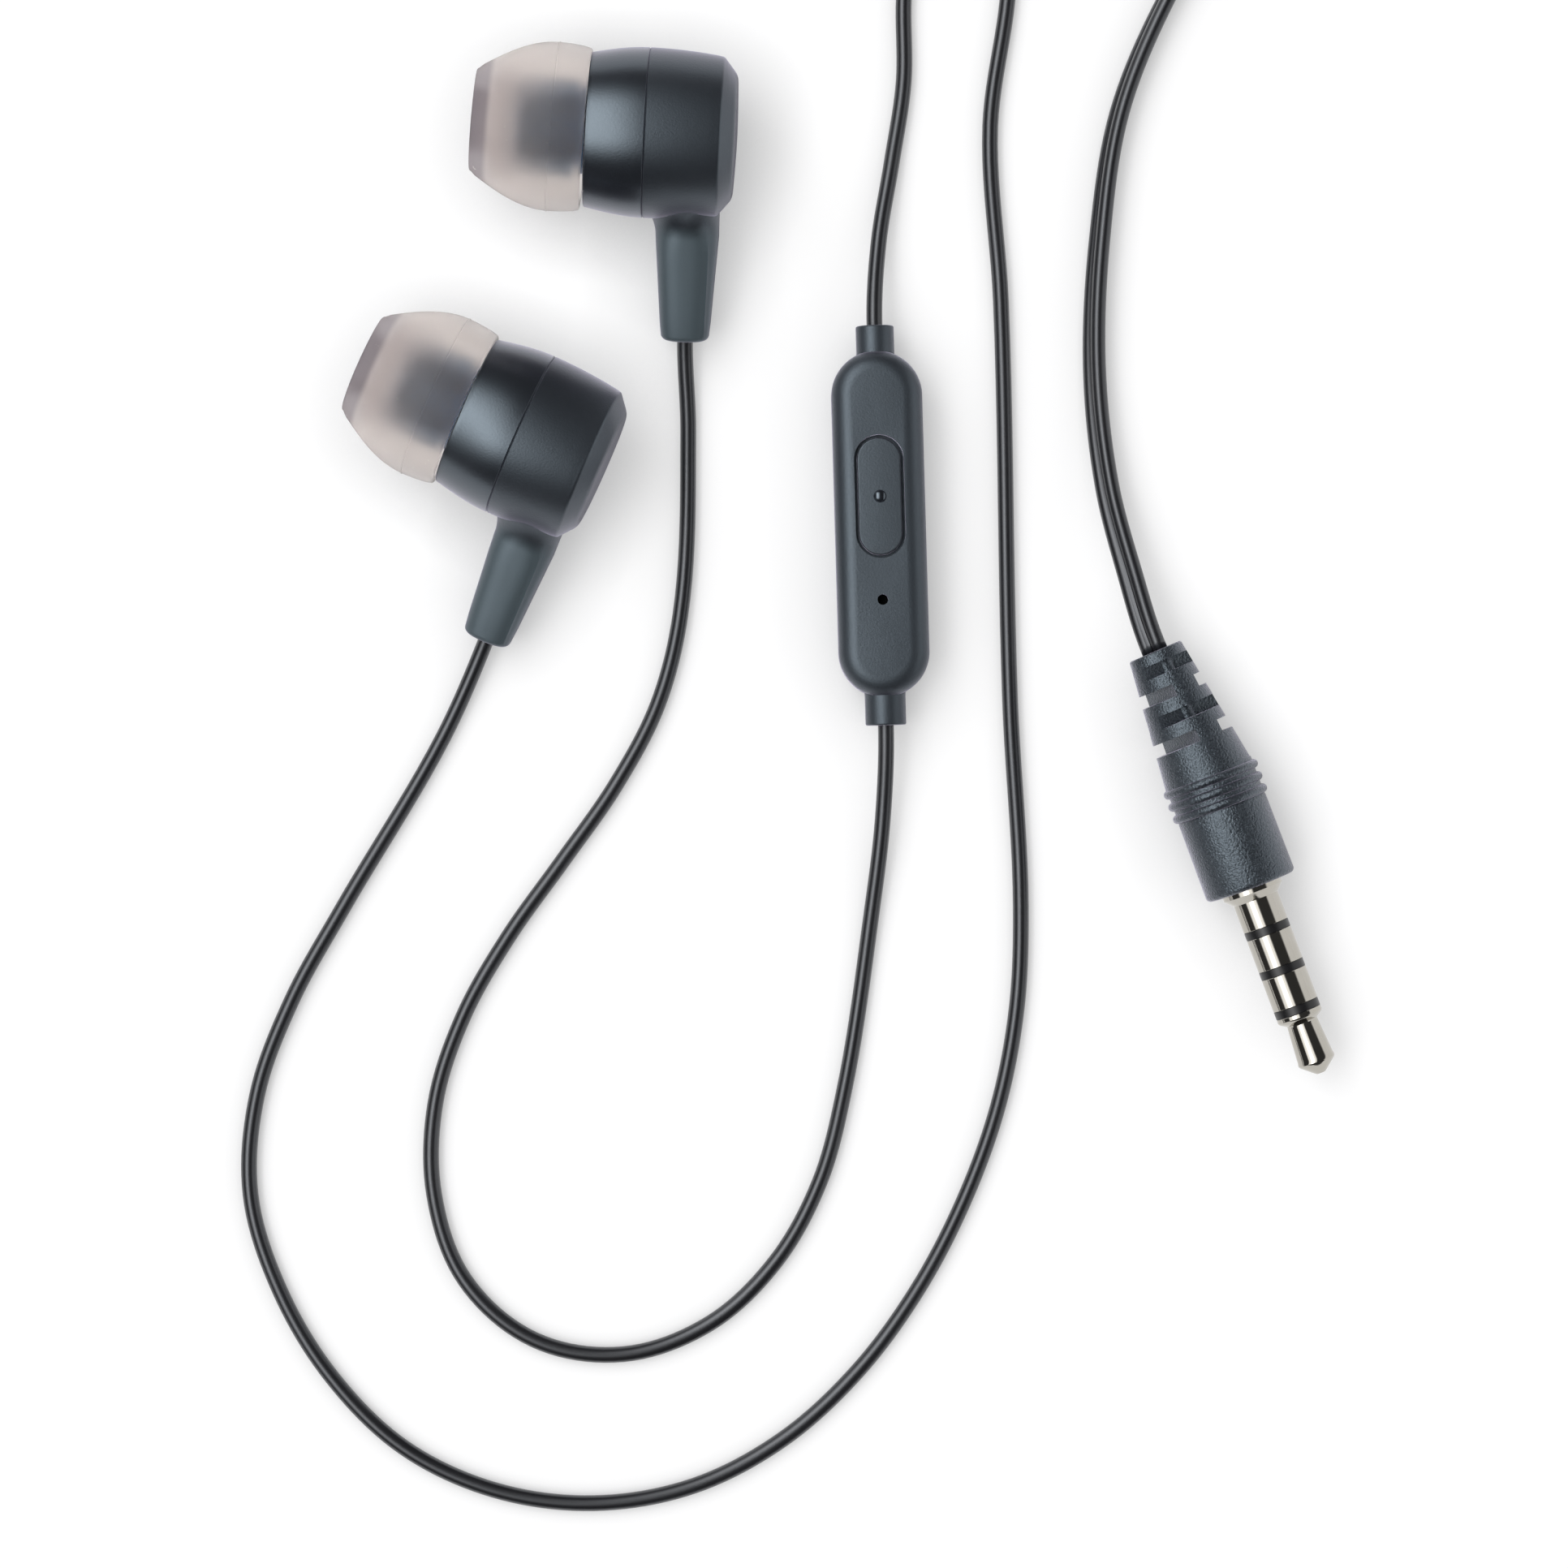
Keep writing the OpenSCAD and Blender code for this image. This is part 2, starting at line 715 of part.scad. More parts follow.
module remote_circuit_board_shape() {
    side_gap = 0.35;
    end_gap = 1.1;
    translate([0, 0, board_z])
        stadium(2 * (pod_in_r - side_gap), pod_run + 2 * (pod_in_r - end_gap), board_t);
}

module remote_switch_shape() {
    plunger_play = 0.1;
    translate([0, button_set, board_top])
        difference() {
            translate([-switch_w / 2, -switch_w / 2, 0])
                cube([switch_w, switch_w, switch_h]);
            translate([0, 0, plunger_low - button_travel - plunger_play - board_top])
                cylinder(d = plunger_d + 2 * plunger_fit, h = switch_h);
        }
}

module remote_switch_plunger_shape() {
    translate([0, button_set, plunger_low])
        cylinder(d = plunger_d, h = boss_low - plunger_low);
}

module remote_microphone_shape() {
    translate([0, -mic_set, board_top])
        cylinder(d = mic_d, h = pod_roof - seat_fit - board_top);
}

module remote_button_shape() {
    top_edge = 0.1;
    cap_w = button_w - 2 * button_gap;
    cap_len = button_len - 2 * button_gap;
    translate([0, button_set, 0]) {
        translate([0, 0, flange_top])
            stadium(cap_w, cap_len, button_top - top_edge - flange_top);
        translate([0, 0, button_top - top_edge])
            stadium(cap_w - top_edge, cap_len - top_edge, top_edge);
        // Flange that keeps the button in
        translate([0, 0, flange_top - flange_t])
            stadium(button_w + 2 * button_hold, button_len + 2 * button_hold, flange_t);
        // Boss that presses the switch
        translate([0, 0, boss_low])
            cylinder(d = 2 * plunger_d, h = flange_top - boss_low);
        // Raised dot
        intersection() {
            translate([0, 0, button_top - dot_d * 0.2])
                sphere(d = dot_d);
            translate([-dot_d, -dot_d, button_top - top_edge])
                cube([2 * dot_d, 2 * dot_d, dot_d]);
        }
    }
}

// ---- Plug --------------------------------------------------------------------------

// Middle rib on the table, and the heading of the contacts from straight down (-Y)
PLUG_AT = [50.2, -33];
PLUG_YAW = 20.6;

rib_r = rib_d / 2;
rib_half = 0.34 * rib_pitch;
sleeve_end = barrel_len + sleeve_len;
ring_near_from = sleeve_end + insulator_len;
ring_near_to = ring_near_from + ring_len;
ring_far_from = ring_near_to + insulator_len;
ring_far_to = ring_far_from + ring_len;
tip_from = ring_far_to + insulator_len;
contact_r = contact_d / 2;
pin_r = 0.9;
pin_from = 1;

function boot_dir() = turn_z(PLUG_YAW + boot_lean, [0, 1, 0]);
function plug_cord_exit() = [PLUG_AT[0], PLUG_AT[1], rib_r] + boot_len * boot_dir();

// The plug is drawn along +z, with the middle rib at z = 0 and the cord at -z
module place_plug() {
    translate([PLUG_AT[0], PLUG_AT[1], rib_r])
        rotate([0, 0, PLUG_YAW])
            rotate([90, 0, 0])
                children();
}

// One pair of opposite slots, with flat floors either side of the axis
module slot_pair(at, turn) {
    wide = boot_root_d;
    rotate([0, 0, turn])
        for (face = [-1, 1])
            translate([-wide, face > 0 ? slot_floor : -slot_floor - wide, at - slot_w / 2])
                cube([2 * wide, wide, slot_w]);
}

// The strain relief: a cone, cut by four pairs of slots that alternate by a quarter
// turn, with the cord's moulded core standing proud of the first and third floors
module strain_relief() {
    // The cone ends under the first rib
    root_at = 1.25;
    root = boot_len - root_at * rib_pitch;
    core_r = 0.58;
    core_rise = 0.25;
    core_set = slot_floor + core_rise - core_r;
    root_edge = 0.15;
    difference() {
        rotate_extrude()
            polygon([
                [0, 0],
                [boot_end_d / 2 - root_edge, 0],
                [boot_end_d / 2, root_edge],
                [boot_root_d / 2, root],
                [0, root]
            ]);
        for (i = [0 : 3])
            slot_pair(slot_first + i * slot_pitch, -slot_turn + 90 * i);
    }
    for (i = [0, 2], face = [-1, 1])
        rotate([0, 0, -slot_turn])
            translate([0, face * core_set, slot_first + i * slot_pitch - slot_w / 2])
                cylinder(r = core_r, h = slot_w);
}

// Ribs and barrel, with a round groove either side of the middle rib
module plug_barrel() {
    groove_depth = 0.05;
    root_len = 0.6;
    lead_len = 0.5;
    groove_r = boot_root_d / 2 - groove_depth;
    bump = [for (n = [-1, 0, 1], a = [180 : -30 : 0])
        [groove_r + (rib_r - groove_r) * sin(a), n * rib_pitch + rib_half * cos(a)]];
    difference() {
        rotate_extrude()
            polygon(concat(
                [[0, -rib_pitch - root_len], [groove_r, -rib_pitch - root_len]],
                bump,
                [[barrel_d / 2 - groove_depth, rib_pitch + lead_len]],
                [for (a = [0 : 22.5 : 90])
                    [barrel_d / 2 - barrel_edge + barrel_edge * cos(a),
                        barrel_len - barrel_edge + barrel_edge * sin(a)]],
                [[0, barrel_len]]));
        // The contacts' core is moulded in
        translate([0, 0, pin_from])
            cylinder(r = pin_r, h = barrel_len);
    }
}

module plug_moulding_shape() {
    plug_barrel();
    rotate([0, boot_lean, 0])
        translate([0, 0, -boot_len])
            strain_relief();
}

module plug_sleeve_shape() {
    bevel = (flange_d - contact_d) / 4;
    rotate_extrude()
        polygon([
            [pin_r, barrel_len],
            [flange_d / 2, barrel_len],
            [flange_d / 2, barrel_len + flange_len - 2 * bevel],
            [contact_r + bevel, barrel_len + flange_len - bevel],
            [contact_r, barrel_len + flange_len],
            [contact_r, sleeve_end],
            [pin_r, sleeve_end]
        ]);
}

module contact_ring(from, to) {
    translate([0, 0, from])
        difference() {
            cylinder(r = contact_r, h = to - from);
            translate([0, 0, -PAST])
                cylinder(r = pin_r, h = to - from + 2 * PAST);
        }
}

// The tip and the rod that holds the rings together
module plug_tip_contact_shape() {
    shoulder = 0.3;
    neck = tip_from + 2.6 * shoulder;
    neck_len = 0.15;
    point_d = 0.6;
    point_edge = 0.06;
    point_len = 1;
    end = tip_from + tip_contact_len;
    bulb = end - point_len;
    rotate_extrude()
        polygon([
            [0, pin_from],
            [pin_r, pin_from],
            [pin_r, tip_from],
            [contact_r, tip_from],
            [contact_r, tip_from + shoulder],
            [(contact_r * 2 + tip_neck_d / 2) / 3, tip_from + 1.8 * shoulder],
            [tip_neck_d / 2, neck],
            [tip_neck_d / 2, neck + neck_len],
            [tip_bulb_d / 2 - point_edge, bulb - neck_len],
            [tip_bulb_d / 2, bulb],
            [tip_bulb_d / 2 - point_edge, bulb + neck_len],
            [point_d / 2 + point_edge, end - point_edge],
            [point_d / 2, end],
            [0, end]
        ]);
}

module plug_insulators_shape() {
    contact_ring(sleeve_end, ring_near_from);
    contact_ring(ring_near_to, ring_far_from);
    contact_ring(ring_far_to, tip_from);
}

// ---- Cords ---------------------------------------------------------------------------

// Direction of a route at each of its points: given at its ends, shared evenly between
// the runs that meet at a point elsewhere
function ways(p, from, to) = [for (i = [0 : len(p) - 1])
    i == 0 ? from : i == len(p) - 1 ? to : unit(unit(p[i + 1] - p[i]) + unit(p[i] - p[i - 1]))];

// One ring of a tube: its corners lie on an ellipse square to the route
function ring(at, along, w, h, sides, first, roll) = let (
        side = unit(cross(along, [0, 0, 1])),
        up = cross(side, along),
        wide = side * cos(roll) + up * sin(roll),
        high = up * cos(roll) - side * sin(roll))
    [for (k = [0 : sides - 1]) let (a = first + 360 * k / sides)
        at + wide * w / 2 * cos(a) + high * h / 2 * sin(a)];

// A closed tube along a route, as triangles. Its section turns evenly from roll[0] to roll[1]
module tube(p, from, to, w, h, sides, first, roll = [0, 0]) {
    last = len(p) - 1;
    along = ways(p, from, to);
    points = [for (i = [0 : last])
        each ring(p[i], along[i], w, h, sides, first, roll[0] + (roll[1] - roll[0]) * i / last)];
    walls = [for (i = [0 : last - 1], k = [0 : sides - 1]) let (
            a = i * sides + k,
            b = i * sides + (k + 1) % sides)
        each [[a, a + sides, b], [b, a + sides, b + sides]]];
    caps = [for (k = [1 : sides - 2]) each [
        [0, k, k + 1],
        [last * sides, last * sides + k + 1, last * sides + k]]];
    polyhedron(points = points, faces = concat(walls, caps));
}

CORD_SIDES = 8;
CORD_FIRST = 22.5;

module single_cord(p, from, to) {
    tube(p, from, to, cord_d, cord_d, CORD_SIDES, CORD_FIRST);
}

module twin_cord(p, from, to, roll) {
    tube(p, from, to, twin_t, twin_w, CORD_SIDES, CORD_FIRST, roll);
}

// The twin cord leaves the plug rolled to the right, and lies upright further on
PLUG_ROLL = -50;

// From the right earbud round to the remote
RIGHT_LOWER = [
    [10.8, -6, 0.6], [10.2, -19.8, 0.6], [8.5, -26.5, 0.6], [5.3, -32.6, 0.6],
    [1.3, -38.3, 0.6], [-2.7, -43.9, 0.6], [-6.1, -49.9, 0.6], [-8.2, -56.4, 0.6],
    [-8.3, -63.3, 0.6], [-6, -69.7, 0.6], [-0.8, -74.2, 0.6], [5.9, -75.3, 0.6],
    [12.4, -73, 0.6], [17.4, -68.3, 0.6], [20.7, -62.3, 0.6], [22.5, -55.6, 0.6],
    [24.6, -42, 0.7], [25.4, -35.2, 1.5]
];

// From the remote up the table and round the coil to the splitter
RIGHT_UPPER = [
    [25.1, 8.2, 1.4], [26.1, 14.3, 0.7], [27, 20.4, 0.6], [27, 26.5, 0.6],
    [28.2, 41, 0.6], [29, 49, 0.6], [29.2, 56, 0.6], [31.2, 64.8, 0.6],
    [38.1, 73, 0.6], [48.2, 76.7, 0.6], [58.8, 74.9, 0.6], [64.2, 73.6, 0.6]
];

// From the left earbud round the right cord, past the remote and round the coil
LEFT_ROUTE = [
    [-7.6, -28.9, 0.6], [-15.3, -42, 0.6], [-19, -48.7, 0.6], [-21.6, -55.8, 0.6],
    [-22.1, -63.3, 0.6], [-19.9, -70.5, 0.6], [-16, -77, 0.6], [-10.6, -82.3, 0.6],
    [-3.8, -85.5, 0.6], [3.7, -86.5, 0.6], [11.2, -85.2, 0.6], [17.9, -81.7, 0.6],
    [23.5, -76.6, 0.6], [28, -70.5, 0.6], [31.5, -63.8, 0.6], [34.1, -56.6, 0.6],
    [35.5, -49.2, 0.6], [35.8, -41.6, 0.6], [35, -26.4, 0.6], [34.3, 3.9, 0.6],
    [33.5, 17, 0.6], [34.8, 26.5, 0.6], [35.2, 33, 0.6], [34.6, 40, 0.6],
    [32.1, 49.5, 0.6], [31.1, 55, 0.6], [32.8, 64, 0.6], [39.1, 71.6, 0.6],
    [48.3, 74.9, 0.6], [58, 73.2, 0.6], [62.6, 72.2, 0.6]
];

// From the plug to the coil
PLUG_ROUTE = [
    [43.8, -16.5, 3], [42.2, -10, 1.8], [41.3, -1, 1.1], [41.7, 8.5, 1.1],
    [43.2, 18, 1.1], [46.7, 26.5, 1.1], [51.4, 34.2, 1.3]
];

// From the coil round to the splitter
SPLITTER_ROUTE = [
    [65.8, 46.9, 3.6], [69, 52.6, 2.4], [69.6, 58.6, 1.5]
];

// ---- Coil ------------------------------------------------------------------------------

COIL_AT = [50, 56];
COIL_START = -55;
COIL_TURNS = 11;
RINGS_A_TURN = 24;
COIL_SIDES = 6;
COIL_FIRST = 90;

coil_pitch = (coil_out_r - coil_in_r) / (COIL_TURNS / 2);
coil_low = tie_t + seat_fit + twin_w / 2;
coil_high = coil_low + twin_w + layer_gap;
coil_angle = 360 * COIL_TURNS;
coil_half = coil_angle / 2;

// Radius and height at an angle along the winding: in, over to the upper layer in half a
// turn, and out again
function coil_r(a) = coil_out_r - coil_pitch * (a < coil_half ? a : coil_angle - a) / 360;
function coil_z(a) = coil_low + (coil_high - coil_low) * min(1, max(0, (a - coil_half + 90) / 180));
function coil_point(a) = [COIL_AT[0], COIL_AT[1], coil_z(a)] + coil_r(a) * around(COIL_START + a);

coil_run = around(COIL_START + 90);
coil_first = coil_point(0) - twin_w * coil_run;
coil_last = coil_point(coil_angle) + twin_w * coil_run;
coil_path = concat(
    [coil_first],
    [for (i = [0 : RINGS_A_TURN * COIL_TURNS]) coil_point(i * 360 / RINGS_A_TURN)],
    [coil_last]);

// Clear distance between two sections of the winding that lie apart by v, from their own
// upright, level and slanted faces
function section_gap(v) = let (
        across = norm([v[0], v[1]]),
        rise = abs(v[2]),
        slant = unit([twin_w / 4, twin_t / 2]))
    max(across - twin_t, rise - twin_w, slant * [across, rise] - slant[1] * twin_w);

function coil_least_gap() = min([
    for (i = [0 : len(coil_path) - 1], j = [i + RINGS_A_TURN / 2 : 1 : len(coil_path) - 1])
        section_gap(coil_path[j] - coil_path[i])]);

module coil_shape() {
    echo(least_gap_of_the_coil = coil_least_gap());
    tube(coil_path, coil_run, coil_run, twin_t / cos(30), twin_w, COIL_SIDES, COIL_FIRST);
}

// A band round the coil's turns at one place
module coil_tie_shape() {
    tie_at = 250;
    low = coil_in_r - twin_t / 2 - tie_fit;
    high = coil_out_r + twin_t / 2 + tie_fit;
    top = coil_high + twin_w / 2 + tie_fit;
    translate([COIL_AT[0], COIL_AT[1], 0])
        rotate([0, 0, tie_at])
            difference() {
                translate([low - tie_t, -tie_w / 2, 0])
                    cube([high - low + 2 * tie_t, tie_w, top + tie_t]);
                translate([low, -tie_w / 2 - PAST, tie_t])
                    cube([high - low, tie_w + 2 * PAST, top - tie_t]);
            }
}

// ---- Splitter --------------------------------------------------------------------------

SPLITTER_AT = [67.2, 66.4];
SPLITTER_YAW = 20;

splitter_dir = turn_z(SPLITTER_YAW, [0, 1, 0]);
splitter_side = turn_z(SPLITTER_YAW, [1, 0, 0]);
splitter_twin = [SPLITTER_AT[0], SPLITTER_AT[1], splitter_h / 2] - splitter_len / 2 * splitter_dir;
function splitter_exit(side) = [SPLITTER_AT[0], SPLITTER_AT[1], splitter_low_h / 2]
    + splitter_len / 2 * splitter_dir + side * splitter_pitch / 2 * splitter_side;

// A slab standing on z = 0 whose four long edges are rounded, from y = from on
module block(w, h, t, edge, from) {
    for (x = [-1, 1], z = [edge, h - edge])
        translate([x * (w / 2 - edge), from + t, z])
            rotate([90, 0, 0])
                cylinder(r = edge, h = t, $fn = HULL_FN);
}

module cord_splitter_shape() {
    edge = 0.3;
    end_t = 1.2;
    side_wall = 0.45;
    translate([SPLITTER_AT[0], SPLITTER_AT[1], 0])
        rotate([0, 0, SPLITTER_YAW])
            hull() {
                block(twin_t + 2 * side_wall, splitter_h, end_t, edge, -splitter_len / 2);
                block(splitter_w, splitter_low_h, end_t, edge, splitter_len / 2 - end_t);
            }
}

// ---- The sub-parts -----------------------------------------------------------------------

SHELL = [0.13, 0.14, 0.17];
SILICONE = [0.75, 0.71, 0.69, 0.8];
JACKET = [0.12, 0.12, 0.14];
RUBBER = [0.14, 0.15, 0.18];
NICKEL = [0.83, 0.82, 0.79];
COPPER = [0.72, 0.43, 0.25];
FILM = [0.85, 0.8, 0.62];
BOARD = [0.1, 0.35, 0.2];
STEEL = [0.62, 0.63, 0.65];
MAGNET = [0.35, 0.35, 0.38];

module right_ear_tip() color(SILICONE) place_bud(true) ear_tip();
module right_front_shell() color(SHELL) place_bud(true) front_shell();
module right_nozzle_mesh() color(STEEL) place_bud(true) nozzle_mesh();
module right_diaphragm() color(FILM) place_bud(true) diaphragm();
module right_voice_coil() color(COPPER) place_bud(true) voice_coil();
module right_pole_plate() color(STEEL) place_bud(true) pole_plate();
module right_magnet() color(MAGNET) place_bud(true) magnet();
module right_driver_frame() color(STEEL) place_bud(true) driver_frame();
module right_terminal_board() color(BOARD) place_bud(true) terminal_board();
module right_rear_shell() color(SHELL) place_bud(true) rear_shell();

module left_ear_tip() color(SILICONE) place_bud(false) ear_tip();
module left_front_shell() color(SHELL) place_bud(false) front_shell();
module left_nozzle_mesh() color(STEEL) place_bud(false) nozzle_mesh();
module left_diaphragm() color(FILM) place_bud(false) diaphragm();
module left_voice_coil() color(COPPER) place_bud(false) voice_coil();
module left_pole_plate() color(STEEL) place_bud(false) pole_plate();
module left_magnet() color(MAGNET) place_bud(false) magnet();
module left_driver_frame() color(STEEL) place_bud(false) driver_frame();
module left_terminal_board() color(BOARD) place_bud(false) terminal_board();
module left_rear_shell() color(SHELL) place_bud(false) rear_shell();

module remote_front_shell() color(SHELL) place_pod() remote_front_shell_shape();
module remote_back_shell() color(SHELL) place_pod() remote_back_shell_shape();
module remote_button() color(SHELL) place_pod() remote_button_shape();
module remote_switch() color(RUBBER) place_pod() remote_switch_shape();
module remote_switch_plunger() color(NICKEL) place_pod() remote_switch_plunger_shape();
module remote_circuit_board() color(BOARD) place_pod() remote_circuit_board_shape();
module remote_microphone() color(STEEL) place_pod() remote_microphone_shape();

module plug_moulding() color(RUBBER) place_plug() plug_moulding_shape();
module plug_sleeve() color(NICKEL) place_plug() plug_sleeve_shape();
module plug_ring_near() color(NICKEL) place_plug() contact_ring(ring_near_from, ring_near_to);
module plug_ring_far() color(NICKEL) place_plug() contact_ring(ring_far_from, ring_far_to);
module plug_tip_contact() color(NICKEL) place_plug() plug_tip_contact_shape();
module plug_insulators() color(RUBBER) place_plug() plug_insulators_shape();

module cord_splitter() color(JACKET) cord_splitter_shape();
module coil_tie() color(RUBBER) coil_tie_shape();
module coiled_cord() color(JACKET) coil_shape();

module right_cord_lower() color(JACKET) {
    path = concat([stem_exit(true)], RIGHT_LOWER, [pod_foot_end()]);
    single_cord(path, bud_dir(true, stem_dir), pod_dir());
}
module right_cord_upper() color(JACKET) {
    path = concat([pod_top_end()], RIGHT_UPPER, [splitter_exit(1)]);
    single_cord(path, pod_dir(), -splitter_dir);
}
module left_cord() color(JACKET) {
    path = concat([stem_exit(false)], LEFT_ROUTE, [splitter_exit(-1)]);
    single_cord(path, bud_dir(false, stem_dir), -splitter_dir);
}
module plug_cord() color(JACKET) {
    path = concat([plug_cord_exit()], PLUG_ROUTE, [coil_first]);
    twin_cord(path, boot_dir(), coil_run, [PLUG_ROLL, 0]);
}
module splitter_cord() color(JACKET) {
    path = concat([coil_last], SPLITTER_ROUTE, [splitter_twin]);
    twin_cord(path, coil_run, splitter_dir, [0, 0]);
}

right_ear_tip();
right_front_shell();
right_nozzle_mesh();
right_diaphragm();
right_voice_coil();
right_pole_plate();
right_magnet();
right_driver_frame();
right_terminal_board();
right_rear_shell();
left_ear_tip();
left_front_shell();
left_nozzle_mesh();
left_diaphragm();
left_voice_coil();
left_pole_plate();
left_magnet();
left_driver_frame();
left_terminal_board();
left_rear_shell();
remote_front_shell();
remote_back_shell();
remote_button();
remote_switch();
remote_switch_plunger();
remote_circuit_board();
remote_microphone();
plug_moulding();
plug_sleeve();
plug_ring_near();
plug_ring_far();
plug_tip_contact();
plug_insulators();
cord_splitter();
coil_tie();
right_cord_lower();
right_cord_upper();
left_cord();
plug_cord();
coiled_cord();
splitter_cord();
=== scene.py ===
"""Wired in-ear earphones with a remote, a splitter and a coiled twin cord, on their CAD frame."""
import math

import bmesh
import bpy
from mathutils import Matrix, Vector
from mathutils.geometry import interpolate_bezier


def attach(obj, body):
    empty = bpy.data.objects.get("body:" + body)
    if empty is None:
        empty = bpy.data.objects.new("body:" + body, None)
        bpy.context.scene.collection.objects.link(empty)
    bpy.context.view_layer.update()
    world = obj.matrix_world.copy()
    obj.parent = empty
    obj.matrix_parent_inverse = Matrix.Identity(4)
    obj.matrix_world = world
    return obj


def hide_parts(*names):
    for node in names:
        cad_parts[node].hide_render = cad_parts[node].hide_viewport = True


MM = 0.001
BODY = "earphones"

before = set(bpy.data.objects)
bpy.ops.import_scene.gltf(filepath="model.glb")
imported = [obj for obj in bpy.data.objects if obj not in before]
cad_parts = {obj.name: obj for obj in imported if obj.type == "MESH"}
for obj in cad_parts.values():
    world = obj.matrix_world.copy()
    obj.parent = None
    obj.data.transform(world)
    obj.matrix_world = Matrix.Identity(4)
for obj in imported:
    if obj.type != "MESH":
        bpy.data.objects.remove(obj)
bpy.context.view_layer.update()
scene = bpy.context.scene
scene.view_settings.view_transform = "Standard"


# ---- Sizes, in millimetres ------------------------------------------------------------

# The camera's place above the table, its sensor, and the frame's width and scale in pixels
TABLE_VIEW = (18.0, -32.44, 450.0)
SENSOR = 36.0
FRAME_WIDTH = 1932
PX_A_MM = 16.37

# Where each earbud lies, how it is turned, and how far its tip sits askew, in degrees
RIGHT_BUD = {"at": (7.8, 15.9), "yaw": -3.0, "tip_tilt": 2.2}
LEFT_BUD = {"at": (-1.5, -6.5), "yaw": -24.0, "tip_tilt": 0.4}

# Housings, measured along their axis from the parting line
HOUSING_R = 6.3
FRONT_LEN = 4.45
FRONT_FACE_R = 5.7
FRONT_EDGE = 0.18
REAR_LEN = 5.5
REAR_EDGE_R = 5.9
REAR_END = 6.6
END_R = 4.55
END_CROWN = 0.12
SHELL_WALL = 0.9
SEAM_BEVEL = 0.08
LIP_LEN = 1.0
LIP_FIT = 0.05
FRONT_WALL = 1.0
REAR_FLOOR = 5.4

# Stems, measured from the housing's axis; the square section and the crown are on top
STEM_LEN = 15.4
STEM_SET = 3.2
STEM_TOP_R = 2.375
STEM_END_R = 1.81
STEM_LEAN = 1.3
STEM_EDGE = 0.45
STEM_SQUARE = 1.1
SQUARE_FADE = 2.4
STEM_CROWN = 0.024
MOULD_LINE_AT = 142.5
MOULD_LINE = 0.028
FLARE_GAIN = 0.17
FLARE_FROM = 7.6
FLARE_TO = 4.6
STEM_BORE_R = 0.8

# Nozzles; the ridge's places are measured from the nozzle's end
NOZZLE_R = 2.6
NOZZLE_LEN = 5.2
NOZZLE_BORE_R = 1.9
NOZZLE_EDGE = 0.12
RIDGE_R = 2.9
RIDGE_FROM = 0.35
RIDGE_AT = 0.8
RIDGE_TO = 1.15
RIDGE_EDGE = 0.15
COLLAR_R = 3.3
COLLAR_LEN = 0.5
MESH_R = 2.3
MESH_SET = 0.3

# Ear tips; the crown is where the dome is widest
TIP_R = 6.25
TIP_LEN = 8.25
TIP_CROWN = 5.95
TIP_FACE_R = 3.83
TIP_RIM_R = 6.05
TIP_WALL = 0.6
TIP_EDGE = 0.18
TIP_FRONT = 1.3
TIP_HOLE_R = 2.2
TIP_GAP = 0.2
SKIRT_GAP = 0.06
TIP_BORE_R = 2.95
CORE_R = 3.65
CORE_GAP = 0.3
PARTING = 0.05

# Remote, measured from its middle; a collar is its radius and its length
REMOTE_AT = (25.2, -13.0)
REMOTE_YAW = 1.64
REMOTE_R = 3.4
REMOTE_RUN = 19.1
REMOTE_H = 4.8
REMOTE_TOP_R = 1.5
REMOTE_FOOT_R = 0.9
REMOTE_WALL = 0.8
REMOTE_END = 12.95
TOP_COLLAR = (1.425, 1.9)
FOOT_COLLAR = (1.525, 2.1)
BUTTON_SET = 2.0
BUTTON_W = 3.7
BUTTON_LEN = 9.2
BUTTON_GAP = 0.215
OPENING_LOW = 2.6
DOT_R = 0.475
MIC_SET = 5.7
MIC_HOLE_R = 0.4

# Plug: the strain relief from its free end, then the ribs, the barrel and the contacts
PLUG_AT = (50.2, -33.0, 3.72)
PLUG_YAW = 20.6
BOOT_LEAN = 2.7
BOOT_LEN = 11.4
BOOT_END_R = 2.1
BOOT_ROOT_R = 3.425
SLOT_FIRST = 1.31
SLOT_PITCH = 1.88
SLOT_W = 0.95
SLOT_FLOOR = 1.0
SLOT_TURN = 25.0
RIB_R = 3.72
RIB_PITCH = 0.97
BARREL_R = 3.475
BARREL_LEN = 7.6
BARREL_EDGE = 0.35
PIN_R = 0.9
CONTACT_R = 1.75
FLANGE_R = 2.325
FLANGE_LEN = 0.95
SLEEVE_END = 10.68
INSULATOR_LEN = 0.63
RING_LEN = 2.52
TIP_CONTACT_LEN = 4.8
CONTACT_EDGE = 0.03

# Cords
CORD_D = 1.2
TWIN_STRAND_R = 0.57
TWIN_REACH = 0.53
TWIN_W = 2.2
CURVE_STEPS = 10


# ---- Mesh helpers ---------------------------------------------------------------------

def arc(across, along, radius, start, stop, steps):
    """Points on an arc, in degrees, about a centre given as (distance from the axis, height)."""
    return [(across + radius * math.cos(math.radians(start + (stop - start) * i / steps)),
             along + radius * math.sin(math.radians(start + (stop - start) * i / steps)))
            for i in range(steps + 1)]


def corner(before, at, after, reach):
    """Points that round a corner, from a distance before it to the same distance after it."""
    steps = 6
    start, middle, stop = Vector(before), Vector(at), Vector(after)
    start = middle + (start - middle).normalized() * reach
    stop = middle + (stop - middle).normalized() * reach
    return [tuple(start * (1 - t) ** 2 + middle * 2 * t * (1 - t) + stop * t ** 2)
            for t in (i / steps for i in range(steps + 1))]


def new_object(name, data):
    made = bpy.data.objects.new(name, data)
    bpy.context.collection.objects.link(made)
    return made


